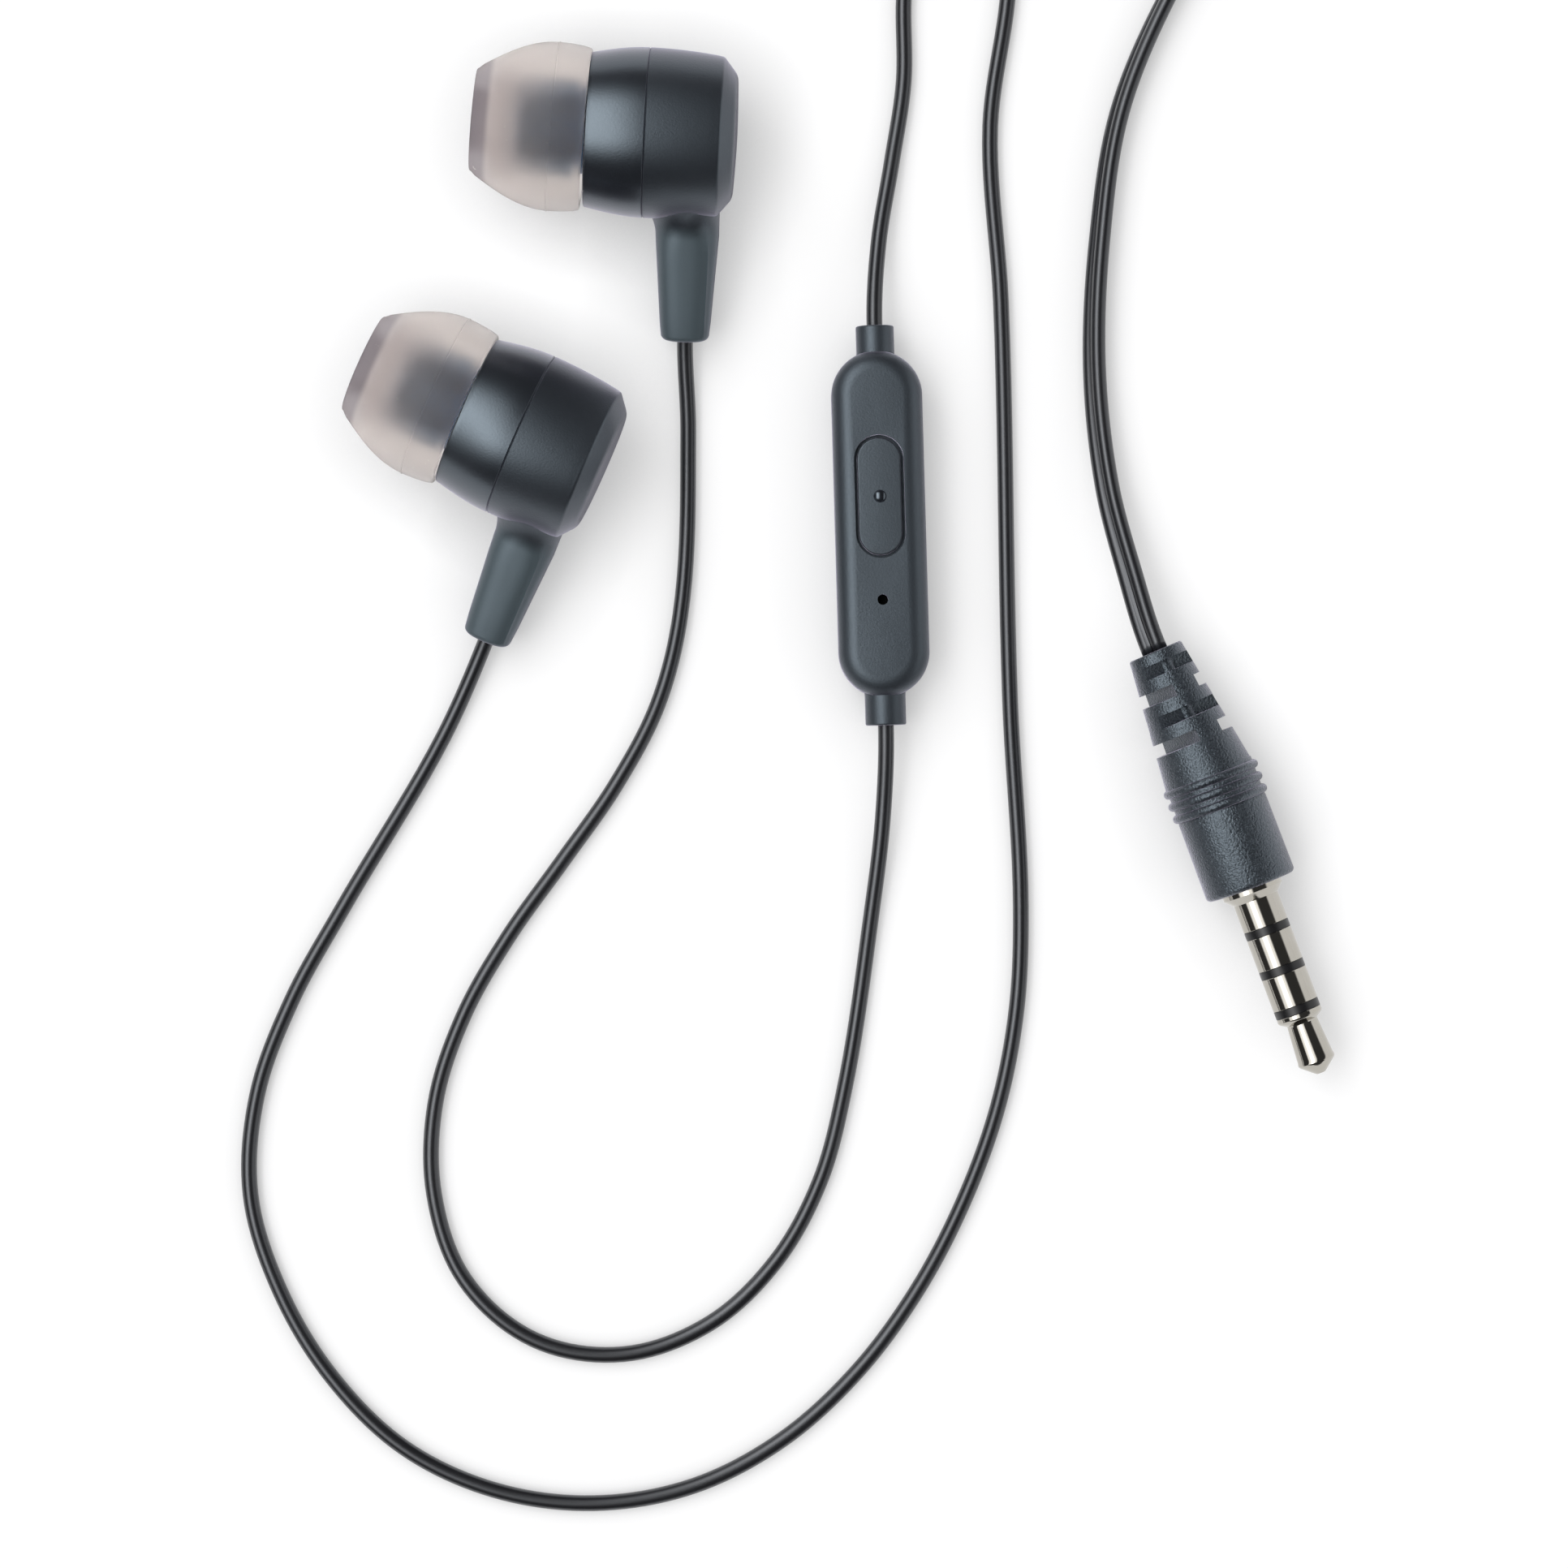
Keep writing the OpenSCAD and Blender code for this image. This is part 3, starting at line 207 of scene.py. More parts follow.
def new_piece(name, bm):
    mesh = bpy.data.meshes.new(name)
    bm.to_mesh(mesh)
    bm.free()
    return new_object(name, mesh)


def lathe(name, profile, segments=96):
    """A solid of revolution about Z from points (distance from the axis, height)."""
    bm = bmesh.new()
    verts = [bm.verts.new((r, 0, z)) for r, z in profile]
    pairs = list(zip(verts, verts[1:]))
    if min(r for r, _ in profile) > 0:
        pairs.append((verts[-1], verts[0]))
    edges = [bm.edges.new(pair) for pair in pairs]
    bmesh.ops.spin(bm, geom=verts + edges, cent=(0, 0, 0), axis=(0, 0, 1), angle=2 * math.pi,
                   steps=segments, use_merge=True)
    bmesh.ops.remove_doubles(bm, verts=bm.verts, dist=1e-5)
    bmesh.ops.recalc_face_normals(bm, faces=bm.faces)
    return new_piece(name, bm)


def box(name, low, high):
    bm = bmesh.new()
    bmesh.ops.create_cube(bm, size=1)
    size = Vector(high) - Vector(low)
    bmesh.ops.scale(bm, vec=size, verts=bm.verts)
    bmesh.ops.translate(bm, vec=Vector(low) + size / 2, verts=bm.verts)
    return new_piece(name, bm)


def stadium(name, radius, run, low, high, top_r=0, foot_r=0):
    """A prism with round ends along Y, whose top and foot edges are rounded."""
    segments, steps = 96, 8
    bm = bmesh.new()
    bmesh.ops.create_circle(bm, cap_ends=True, radius=radius, segments=segments)
    bmesh.ops.rotate(bm, verts=bm.verts, cent=(0, 0, 0),
                     matrix=Matrix.Rotation(math.pi / segments, 3, "Z"))
    for vert in bm.verts:
        vert.co.y += math.copysign(run / 2, vert.co.y)
        vert.co.z = low
    top = bmesh.ops.extrude_face_region(bm, geom=bm.faces[:])
    top_verts = [item for item in top["geom"] if isinstance(item, bmesh.types.BMVert)]
    bmesh.ops.translate(bm, vec=(0, 0, high - low), verts=top_verts)
    bmesh.ops.recalc_face_normals(bm, faces=bm.faces)
    for level, rounding in ((high, top_r), (low, foot_r)):
        if rounding:
            rim = [edge for edge in bm.edges if all(abs(v.co.z - level) < 1e-6 for v in edge.verts)]
            bmesh.ops.bevel(bm, geom=rim, offset=rounding, offset_type="OFFSET", segments=steps,
                            profile=0.5, affect="EDGES", material=-1)
    return new_piece(name, bm)


def apply_modifiers(piece):
    graph = bpy.context.evaluated_depsgraph_get()
    mesh = bpy.data.meshes.new_from_object(piece.evaluated_get(graph))
    old = piece.data
    piece.modifiers.clear()
    piece.data = mesh
    bpy.data.meshes.remove(old)


def combine(piece, operation, *others):
    """Cut, join or keep the overlap of a piece with others, which are used up."""
    for other in others:
        step = piece.modifiers.new(operation, "BOOLEAN")
        step.operation = operation
        step.solver = "EXACT"
        step.object = other
    bpy.context.view_layer.update()
    apply_modifiers(piece)
    for other in others:
        bpy.data.objects.remove(other)
    return piece


def soften(piece, width, angle, segments):
    """Round the edges that are sharper than an angle."""
    step = piece.modifiers.new("soften", "BEVEL")
    step.width = width
    step.segments = segments
    step.limit_method = "ANGLE"
    step.angle_limit = math.radians(angle)
    step.use_clamp_overlap = True
    step.harden_normals = False
    bpy.context.view_layer.update()
    apply_modifiers(piece)
    return piece


def shade(piece, sharp):
    """Smooth shading, with a crease where faces meet at more than an angle."""
    bm = bmesh.new()
    bm.from_mesh(piece.data)
    bmesh.ops.remove_doubles(bm, verts=bm.verts, dist=1e-4)
    bmesh.ops.dissolve_degenerate(bm, edges=bm.edges, dist=1e-4)
    for face in bm.faces:
        face.smooth = True
    for edge in bm.edges:
        edge.smooth = edge.calc_face_angle(0) < math.radians(sharp)
    bm.to_mesh(piece.data)
    bm.free()


def place(piece, matrix, sharp=35):
    """Turn a piece that was drawn in millimetres into its place in the frame, in metres."""
    shade(piece, sharp)
    piece.data.transform(Matrix.Scale(MM, 4) @ matrix)
    piece.data.update()
    return piece


def fit(piece, finish, nodes=(), body=BODY):
    """Give a piece its finish and its body, and hide the CAD nodes that it stands for."""
    piece.data.materials.clear()
    piece.data.materials.append(finish)
    if nodes:
        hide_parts(*nodes)
    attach(piece, body)
    return piece


def turned(degrees, axis):
    return Matrix.Rotation(math.radians(degrees), 4, axis)


def moved(x, y, z):
    return Matrix.Translation((x, y, z))


# ---- Finishes -------------------------------------------------------------------------

class Wire:
    """A shader socket that takes part in Python sums."""

    def __init__(self, finish, socket):
        self.finish = finish
        self.socket = socket

    def sum(self, operation, first, second, clamp=False):
        settings = {"operation": operation, "use_clamp": clamp}
        return self.finish.node("Math", settings, first, second)

    def __add__(self, other):
        return self.sum("ADD", self, other)

    def __sub__(self, other):
        return self.sum("SUBTRACT", self, other)

    def __mul__(self, other):
        return self.sum("MULTIPLY", self, other)

    def __radd__(self, other):
        return self.sum("ADD", other, self)

    def __rsub__(self, other):
        return self.sum("SUBTRACT", other, self)

    def __rmul__(self, other):
        return self.sum("MULTIPLY", other, self)

    def clamped(self):
        return self.sum("ADD", self, 0, clamp=True)

    def over(self, low, high):
        """0 below low, 1 above high, and smooth between them."""
        return self.finish.node("MapRange", {"interpolation_type": "SMOOTHSTEP"},
                                self, low, high, 0.0, 1.0)


class Finish:
    """A material that is built up from nodes."""

    def __init__(self, name, tree=None):
        if tree is None:
            self.material = bpy.data.materials.new(name)
            self.material.use_nodes = True
            tree = self.material.node_tree
        self.tree = tree
        tree.nodes.clear()

    def feed(self, socket, value):
        if isinstance(value, Wire):
            self.tree.links.new(value.socket, socket)
        else:
            socket.default_value = value

    def node(self, kind, settings, *values, out=0, **named):
        """A node from its settings, which come first, and the values or links of its sockets."""
        made = self.tree.nodes.new("ShaderNode" + kind)
        for key, value in settings.items():
            setattr(made, key, value)
        sockets = [(made.inputs[i], value) for i, value in enumerate(values)]
        sockets += [(made.inputs[key.replace("_", " ")], value) for key, value in named.items()]
        for socket, value in sockets:
            self.feed(socket, value)
        return Wire(self, made.outputs[out]) if made.outputs else made

    def place(self, out="Object"):
        return self.node("TexCoord", {}, out=out)

    def noise(self, scale, detail):
        return self.node("TexNoise", {}, Vector=self.place(), Scale=scale, Detail=detail)

    def attribute(self, name):
        """A value that the piece keeps at each of its points."""
        return self.node("Attribute", {"attribute_name": name}, out="Fac")

    def mix(self, amount, first, second):
        """A colour between two colours."""
        made = self.tree.nodes.new("ShaderNodeMix")
        made.data_type = "RGBA"
        for name, kind, value in (("Factor", "VALUE", amount), ("A", "RGBA", first),
                                  ("B", "RGBA", second)):
            self.feed(next(s for s in made.inputs if s.name == name and s.type == kind), value)
        return Wire(self, next(s for s in made.outputs if s.type == "RGBA"))

    def bump(self, height, distance, strength, under=None):
        values = {"Strength": strength, "Distance": distance, "Height": height}
        if under:
            values["Normal"] = under
        return self.node("Bump", {}, **values)

    def surface(self, **named):
        """Ends the material in one Principled shader."""
        shader = self.node("BsdfPrincipled", {}, **named)
        self.node("OutputMaterial", {}, shader)
        return self.material


def rgb(r, g, b):
    return (r, g, b, 1)


# The dark plastic's two tones, and what its shaders share
INK = (0.006, 0.007, 0.010)
SLATE = (0.011, 0.013, 0.017)
SHEEN = {"Sheen_Weight": 1.0, "Sheen_Roughness": 0.34, "Sheen_Tint": rgb(0.84, 0.80, 1.0)}
COOL = {"IOR": 1.7, "Specular_IOR_Level": 0.8, "Specular_Tint": rgb(0.74, 0.88, 1.0)}


def housing_finish(name, roughness, texture, pale):
    """Dark satin plastic with a fine texture from the mould, lighter where a reflection is painted
    on the nozzle and a highlight on the stem.
    """
    f = Finish(name)
    broad = f.noise(180, 3)
    grain = f.noise(6400, 2)
    painted_light = f.attribute("painted_light")
    colour = f.mix(broad, rgb(*INK), rgb(0.011, 0.012, 0.016))
    # Painted light: a lighter, bluer tone stands in for a reflection on the nozzle and a highlight
    # along the stem.
    colour = f.mix(painted_light, colour, rgb(*pale))
    return f.surface(Base_Color=colour,
                     Roughness=roughness + broad * 0.06 + grain * 0.06 + painted_light * 0.1,
                     Normal=f.bump(grain, 0.00001 * texture, 0.6), **COOL, **SHEEN)


def silicone_finish():
    """Milky and see-through, with painted shade at the thick front wall and a painted bluish shade
    where the core grips the nozzle.
    """
    f = Finish("smoky_silicone")
    cloud = f.noise(240, 3)
    speck = f.noise(1500, 1).over(0.74, 0.78)
    depth = f.attribute("from_front")
    # Painted shade: a darker band at the thick front wall, for the light that the wall would soak
    # up.
    front = 1 - depth.over(0.9, 1.5)
    colour = f.mix(cloud, rgb(0.86, 0.82, 0.80), rgb(0.93, 0.89, 0.865))
    colour = f.mix(front * 0.85, colour, rgb(0.38, 0.35, 0.38))
    colour = f.mix(speck, colour, rgb(0.97, 0.95, 0.90))
    # Painted shade: the core turns darker and bluer towards the rim, for the nozzle's shade and
    # blue reflection seen through it.
    grip = f.attribute("grip") * (0.8 + f.noise(1100, 3) * 0.35)
    colour = f.mix(grip.clamped(), colour, rgb(0.30, 0.42, 0.56))
    return f.surface(Base_Color=colour,
                     Roughness=0.70 + cloud * 0.08 - depth.over(2.5, 7.0) * 0.34,
                     Normal=f.bump(f.noise(3000, 2), 0.00001, 0.4),
                     Transmission_Weight=0.95, IOR=1.2, Specular_IOR_Level=0.6,
                     Sheen_Weight=0.3, Sheen_Roughness=0.5, Sheen_Tint=rgb(1.0, 0.92, 0.90))


def remote_finish(name, strength):
    """Dark satin plastic, a little duller than the housings'."""
    f = Finish(name)
    broad = f.noise(150, 3)
    grain = f.noise(6500, 2)
    low, high = (rgb(*(part * strength for part in tone)) for tone in (INK, SLATE))
    colour = f.mix(broad, low, high)
    return f.surface(Base_Color=colour, Roughness=0.43 + grain * 0.10,
                     Normal=f.bump(grain, 0.00002, 0.6), **COOL, **SHEEN)


def dot_finish():
    f = Finish("button_dot_gloss")
    broad = f.noise(900, 2)
    return f.surface(Base_Color=f.mix(broad, rgb(0.008, 0.009, 0.012), rgb(0.013, 0.015, 0.019)),
                     Roughness=0.14 + broad * 0.06, **COOL)


def grip_finish():
    """Dark rubber with a coarse grain and a fine one."""
    f = Finish("grained_grip")
    broad = f.noise(220, 3)
    grain = f.noise(6200, 3)
    fine = f.noise(14000, 2)
    colour = f.mix(broad, rgb(*INK), rgb(*SLATE))
    normal = f.bump(grain, 0.00008, 1.0)
    return f.surface(Base_Color=colour, Roughness=0.22 + grain * 0.14,
                     Normal=f.bump(fine, 0.00002, 0.5, normal), **COOL, **SHEEN)


def jacket_finish():
    f = Finish("cord_jacket")
    broad = f.noise(90, 3)
    grain = f.noise(2600, 2)
    colour = f.mix(broad, rgb(0.008, 0.008, 0.010), rgb(0.014, 0.014, 0.016))
    return f.surface(Base_Color=colour, Roughness=0.26 + broad * 0.12,
                     Normal=f.bump(grain, 0.00001, 0.3), IOR=1.6, Specular_IOR_Level=0.7,
                     Specular_Tint=rgb(0.92, 0.95, 1.0))


def nickel_finish():
    f = Finish("plated_nickel")
    smear = f.noise(700, 3)
    return f.surface(Base_Color=f.mix(smear, rgb(0.42, 0.40, 0.355), rgb(0.48, 0.46, 0.42)),
                     Metallic=1.0, Roughness=0.05 + smear * 0.06)


def insulator_finish():
    f = Finish("insulator_black")
    broad = f.noise(900, 2)
    return f.surface(Base_Color=f.mix(broad, rgb(0.006, 0.006, 0.007), rgb(0.012, 0.012, 0.013)),
                     Roughness=0.28 + broad * 0.1)


def inner_finish(name, low, high, metallic, roughness, scale):
    f = Finish(name)
    grain = f.noise(scale, 3)
    return f.surface(Base_Color=f.mix(grain, rgb(*low), rgb(*high)), Metallic=metallic,
                     Roughness=roughness + grain * 0.12)


def felt_finish():
    f = Finish("black_felt")
    nap = f.noise(9000, 3)
    return f.surface(Base_Color=f.mix(nap, rgb(0.002, 0.002, 0.002), rgb(0.006, 0.006, 0.006)),
                     Roughness=0.95, Normal=f.bump(nap, 0.00002, 0.8), Specular_IOR_Level=0.05)


def mesh_finish():
    """A screen with close round openings, painted dark as shade over a shallow dent rather than cut
    through.
    """
    f = Finish("nozzle_screen")
    cells = f.node("TexVoronoi", {}, Vector=f.place(), Scale=4200.0)
    hole_shade = 1 - cells.over(0.22, 0.34)
    # Painted shade: the openings are near black for the dark behind them.
    colour = f.mix(hole_shade, rgb(0.42, 0.42, 0.43), rgb(0.01, 0.01, 0.01))
    return f.surface(Base_Color=colour, Metallic=0.9, Roughness=0.35 + hole_shade * 0.3,
                     Normal=f.bump(hole_shade, -0.00004, 0.6))


# The last colour of each shell is painted light: the front's for the nozzle's reflection seen
# through the tip, the rear's for a highlight along the stem.
FRONT_SHELL = housing_finish("front_shell_satin", 0.24, 1.0, (0.05, 0.10, 0.18))
REAR_SHELL = housing_finish("rear_shell_satin", 0.36, 1.7, (0.048, 0.066, 0.074))
SILICONE = silicone_finish()
REMOTE = remote_finish("remote_satin", 1.0)
BUTTON = remote_finish("button_satin", 0.9)
DOT = dot_finish()
GRIP = grip_finish()
JACKET = jacket_finish()
NICKEL = nickel_finish()
INSULATOR = insulator_finish()
SCREEN = mesh_finish()
STEEL = inner_finish("pressed_steel", (0.42, 0.42, 0.43), (0.58, 0.58, 0.59), 1.0, 0.28, 900)
MAGNET = inner_finish("plated_magnet", (0.30, 0.30, 0.32), (0.40, 0.40, 0.42), 1.0, 0.22, 700)
COPPER = inner_finish("enamelled_wire", (0.55, 0.26, 0.12), (0.72, 0.38, 0.20), 1.0, 0.30, 4000)
FILM = inner_finish("clear_film", (0.60, 0.56, 0.42), (0.72, 0.68, 0.52), 0.0, 0.20, 600)
FELT = felt_finish()
BOARD = inner_finish("green_board", (0.02, 0.12, 0.05), (0.03, 0.18, 0.08), 0.0, 0.40, 500)


# ---- Earbuds --------------------------------------------------------------------------

def bud_roll():
    """The roll at which the stem's end rests on the table."""
    reach = (STEM_LEN - STEM_EDGE) * math.cos(math.radians(STEM_LEAN))
    half = STEM_END_R - STEM_EDGE
    drop = math.asin((HOUSING_R - STEM_EDGE) / math.hypot(reach, half))
    return math.degrees(drop - math.atan2(half, reach))


def bud_place(bud):
    x, y = bud["at"]
    return (moved(x, y, HOUSING_R) @ turned(bud["yaw"], "Z") @ turned(bud_roll(), "X")
            @ turned(90, "Y"))


def mark_painted_light(piece, amount):
    """Writes how far each point goes to the lighter colour of its finish, which is painted light.
    """
    piece.data.attributes.new("painted_light", "FLOAT", "POINT").data.foreach_set(
        "value", [amount(vert.co) for vert in piece.data.vertices])
    return piece


def front_swell(u):
    """The front shell's radius at a distance from its face."""
    return FRONT_FACE_R + (HOUSING_R - FRONT_FACE_R) * math.sin(math.pi / 2 * u / FRONT_LEN)


def front_housing(name):
    face, edge, steps = -FRONT_LEN, FRONT_EDGE, 16
    nozzle = face - NOZZLE_LEN
    collar_end = face - COLLAR_LEN
    bore, lip_r = FRONT_FACE_R - SHELL_WALL, HOUSING_R - SHELL_WALL
    foot, bevel, fillet = 0.25, (0.2, 0.12), 0.1
    swell = [(front_swell(u), face + u) for u in
             (edge + (FRONT_LEN - edge - SEAM_BEVEL) * i / steps for i in range(steps + 1))]
    profile = (
        [(MESH_R, nozzle + MESH_SET), (MESH_R, nozzle)]
        + arc(NOZZLE_R - NOZZLE_EDGE, nozzle + NOZZLE_EDGE, NOZZLE_EDGE, -90, 0, 3)
        + [(NOZZLE_R, nozzle + RIDGE_FROM)]
        + arc(RIDGE_R - RIDGE_EDGE, nozzle + RIDGE_AT, RIDGE_EDGE, 0, 90, 3)
        + [(NOZZLE_R, nozzle + RIDGE_TO), (NOZZLE_R, collar_end - foot)]
        + [(COLLAR_R - bevel[0], collar_end), (COLLAR_R, collar_end + bevel[1])]
        + [(COLLAR_R, face - fillet), (COLLAR_R + fillet, face)]
        + arc(front_swell(edge) - edge, face + edge, edge, -90, -8, 5)
        + swell
        + [(HOUSING_R - SEAM_BEVEL, 0), (lip_r, 0), (lip_r, LIP_LEN), (bore, LIP_LEN),
           (bore, face + FRONT_WALL), (NOZZLE_BORE_R, face + FRONT_WALL),
           (NOZZLE_BORE_R, nozzle + MESH_SET)]
    )

    # The nozzle carries a painted reflection.
    def on_nozzle(at):
        return float(at.z < face - 0.02 and math.hypot(at.x, at.y) < COLLAR_R + 0.05)

    return mark_painted_light(lathe(name, profile, 128), on_nozzle)


def stem_radius(s):
    """A stem's radius at a distance from the housing's axis, with the flare at its root."""
    taper = (STEM_TOP_R - STEM_END_R) * max(0, s - FLARE_FROM) / (STEM_LEN - FLARE_FROM)
    return STEM_TOP_R + FLARE_GAIN * max(0, FLARE_FROM - s) ** 2 - taper


def shape_stem(piece):
    """Fades the flare towards the rear face, squares the upper half and adds a mould line."""
    line_end, line_reach = STEM_LEN - STEM_EDGE + 0.01, 0.02
    for vert in piece.data.vertices:
        radius = math.hypot(vert.co.x, vert.co.y)
        if radius < 1e-6:
            continue
        turn = math.atan2(vert.co.y, vert.co.x)
        upper = vert.co.x < 0
        flare = max(0, radius - STEM_TOP_R)
        grow = 1 - flare / radius * max(0, math.sin(turn))
        along = min(1, max(0, (vert.co.z - FLARE_FROM + SQUARE_FADE / 2) / SQUARE_FADE))
        power = 2 + STEM_SQUARE * along * along * (3 - 2 * along) * upper
        grow *= (abs(math.cos(turn)) ** power + abs(math.sin(turn)) ** power) ** (-1 / power)
        if vert.co.z < line_end and abs(turn - math.radians(MOULD_LINE_AT)) < line_reach:
            grow += MOULD_LINE * along
        if upper:
            grow *= 1 + STEM_CROWN * max(0, vert.co.z - FLARE_FROM) * math.cos(turn) ** 2
        vert.co.x *= grow
        vert.co.y *= grow


def stem(name):
    """A tapered stem that starts inside the housing, clear of its front half."""
    steps, clear = 24, 0.05
    flare = [(stem_radius(s), s) for s in
             (FLARE_TO + (FLARE_FROM - FLARE_TO) * i / steps for i in range(steps + 1))]
    straight = [(stem_radius(s), s) for s in
                (FLARE_FROM + (STEM_LEN - STEM_EDGE - FLARE_FROM) * i / 8 for i in range(1, 8))]
    profile = ([(0, FLARE_TO)] + flare + straight
               + arc(STEM_END_R - STEM_EDGE, STEM_LEN - STEM_EDGE, STEM_EDGE, 0, 90, 8)
               + [(0, STEM_LEN)])
    piece = lathe(name, profile, 96)
    shape_stem(piece)
    piece.data.transform(moved(0, 0, STEM_SET) @ turned(90 - STEM_LEAN, "X"))
    bm = bmesh.new()
    bm.from_mesh(piece.data)
    cut = bmesh.ops.bisect_plane(bm, geom=bm.verts[:] + bm.edges[:] + bm.faces[:],
                                 plane_co=(0, 0, clear), plane_no=(0, 0, -1),
                                 clear_outer=True)
    edges = [item for item in cut["geom_cut"] if isinstance(item, bmesh.types.BMEdge)]
    bmesh.ops.contextual_create(bm, geom=edges)
    bmesh.ops.recalc_face_normals(bm, faces=bm.faces)
    bm.to_mesh(piece.data)
    bm.free()
    return piece


def rear_housing(name):
    steps, dome_steps, dish = 12, 6, 0.02
    lip_r, lip_len = HOUSING_R - SHELL_WALL + LIP_FIT, LIP_LEN + LIP_FIT
    bore = REAR_EDGE_R - SHELL_WALL
    side = [(HOUSING_R - (HOUSING_R - REAR_EDGE_R) * (i / steps) ** 2,
             SEAM_BEVEL + (REAR_LEN - SEAM_BEVEL) * i / steps) for i in range(steps)]
    side += corner((REAR_EDGE_R + 0.05, REAR_LEN - 1), (REAR_EDGE_R, REAR_LEN),
                   (END_R, REAR_END), 0.16)
    side += corner((REAR_EDGE_R, REAR_LEN), (END_R, REAR_END), (0, REAR_END + END_CROWN), 0.42)
    dome = [((END_R - 0.5) * (1 - i / dome_steps),
             REAR_END + dish + END_CROWN * math.sin(math.pi / 2 * i / dome_steps))
            for i in range(dome_steps + 1)]
    shell = lathe(name, [(0, 0), (HOUSING_R - SEAM_BEVEL, 0)] + side + dome, 128)
    combine(shell, "UNION", stem("stem"))
    soften(shell, 0.22, 20, 4)
    hollow = lathe("hollow", [(0, -1), (lip_r, -1), (lip_r, lip_len), (bore, lip_len),
                              (bore, REAR_FLOOR), (0, REAR_FLOOR)], 96)
    way = lathe("way", [(0, 0), (STEM_BORE_R, 0), (STEM_BORE_R, STEM_LEN - SHELL_WALL),
                        (0, STEM_LEN - SHELL_WALL)], 32)
    way.data.transform(moved(0, 0, STEM_SET) @ turned(90 - STEM_LEAN, "X"))
    combine(shell, "DIFFERENCE", hollow, way)
    # The stem carries a painted highlight, fading in from its root.
    return mark_painted_light(shell, lambda at: min(1, max(0, (-at.y - HOUSING_R) / 1.2)))


def dome_radius(u):
    """An ear tip's outer radius at a distance from its front face."""
    if u < TIP_CROWN:
        return TIP_FACE_R + (TIP_R - TIP_FACE_R) * math.sin(math.pi / 2 * u / TIP_CROWN)
    return TIP_R - (TIP_R - TIP_RIM_R) * ((u - TIP_CROWN) / (TIP_LEN - TIP_CROWN)) ** 2


def ear_tip(name):
    rear = -(FRONT_LEN + SKIRT_GAP)
    face = -(FRONT_LEN + TIP_GAP + TIP_LEN)
    length = rear - face
    steps, lip, bevel = 28, TIP_EDGE, 0.1
    nozzle_shade_from, nozzle_shade_len = 3.2, 4.2
    outside = []
    for i in range(steps + 1):
        u = lip + (length - 2 * lip) * i / steps
        outside.append((dome_radius(u), face + u))
    # A fine parting line at the crown
    at, clear = face + TIP_CROWN, 0.08
    parting = [(TIP_R, at - 0.06), (TIP_R + PARTING, at - 0.02), (TIP_R + PARTING, at + 0.02),
               (TIP_R, at + 0.06)]
    outside = ([p for p in outside if p[1] < at - clear] + parting
               + [p for p in outside if p[1] > at + clear])
    depth = length - lip - TIP_FRONT - 0.6
    inside = [(max(dome_radius(u) - TIP_WALL, CORE_R + 0.3), face + u) for u in
              (length - lip - depth * i / steps for i in range(steps + 1))]
    core_rear = -(FRONT_LEN + COLLAR_LEN + CORE_GAP)
    profile = (
        arc(TIP_HOLE_R + lip, face + lip, lip, 180, 270, 4)
        + arc(dome_radius(0) - lip, face + lip, lip, 270, 350, 4)
        + outside[1:-1]
        + arc(dome_radius(length) - lip, rear - lip, lip, 0, 90, 4)
        + arc(dome_radius(length) - TIP_WALL + lip, rear - lip, lip, 90, 180, 4)
        + inside[1:]
        + [(CORE_R + 0.1, face + TIP_FRONT + 0.2), (CORE_R, face + TIP_FRONT + 0.4),
           (CORE_R, core_rear - bevel), (CORE_R - bevel, core_rear),
           (TIP_BORE_R + bevel, core_rear), (TIP_BORE_R, core_rear - bevel),
           (TIP_BORE_R, face + TIP_FRONT), (TIP_HOLE_R, face + TIP_FRONT)]
    )
    tip = lathe(name, profile, 128)
    from_front = [vert.co.z - face for vert in tip.data.vertices]
    # The grip value carries the nozzle's painted shade onto the core, growing towards the rim.
    grip = [min(1, max(0, (u - nozzle_shade_from) / nozzle_shade_len))
            if math.hypot(*vert.co.xy) < CORE_R + 0.15 else 0
            for u, vert in zip(from_front, tip.data.vertices)]
    for attribute, values in (("from_front", from_front), ("grip", grip)):
        tip.data.attributes.new(attribute, "FLOAT", "POINT").data.foreach_set("value", values)
    return tip


def earbud(side, bud):
    at = bud_place(bud)
    for make, half, finish in ((front_housing, "_front", FRONT_SHELL),
                               (rear_housing, "_rear", REAR_SHELL)):
        housing = place(make(side + half + "_housing"), at)
        fit(housing, finish, [side + half + "_shell"])
    rim = moved(0, 0, -FRONT_LEN)
    tilt = rim @ turned(bud["tip_tilt"], "X") @ rim.inverted()
    tip = place(ear_tip(side + "_tip_dome"), at @ tilt)
    fit(tip, SILICONE, [side + "_ear_tip"], side + "_tip")


# ---- Remote ---------------------------------------------------------------------------

def remote_place():
    return moved(REMOTE_AT[0], REMOTE_AT[1], 0) @ turned(REMOTE_YAW, "Z")


def remote_solid(name, inset=0.0):
    return stadium(name, REMOTE_R - inset, REMOTE_RUN, inset, REMOTE_H - inset,
                   max(0.2, REMOTE_TOP_R - inset), max(0.2, REMOTE_FOOT_R - inset))


def collar(name, end, size):
    """A cord collar that flows out of the remote's end; end is 1 at the top and -1 at the foot."""
    radius, length = size
    flare, reach, root, edge = 0.6, 1.1, REMOTE_END - 1.15, 0.15
    curve = [(radius + flare * (1 - math.sin(a)), root + reach * (1 - math.cos(a)))
             for a in map(math.radians, range(0, 91, 9))]
    profile = ([(0, root - 1), (radius + flare, root - 1)] + curve
               + arc(radius - edge, REMOTE_END + length - edge, edge, 0, 90, 4)
               + [(0, REMOTE_END + length)])
    piece = lathe(name, profile, 96)
    piece.data.transform(moved(0, 0, REMOTE_H / 2) @ turned(-90 * end, "X"))
    return piece


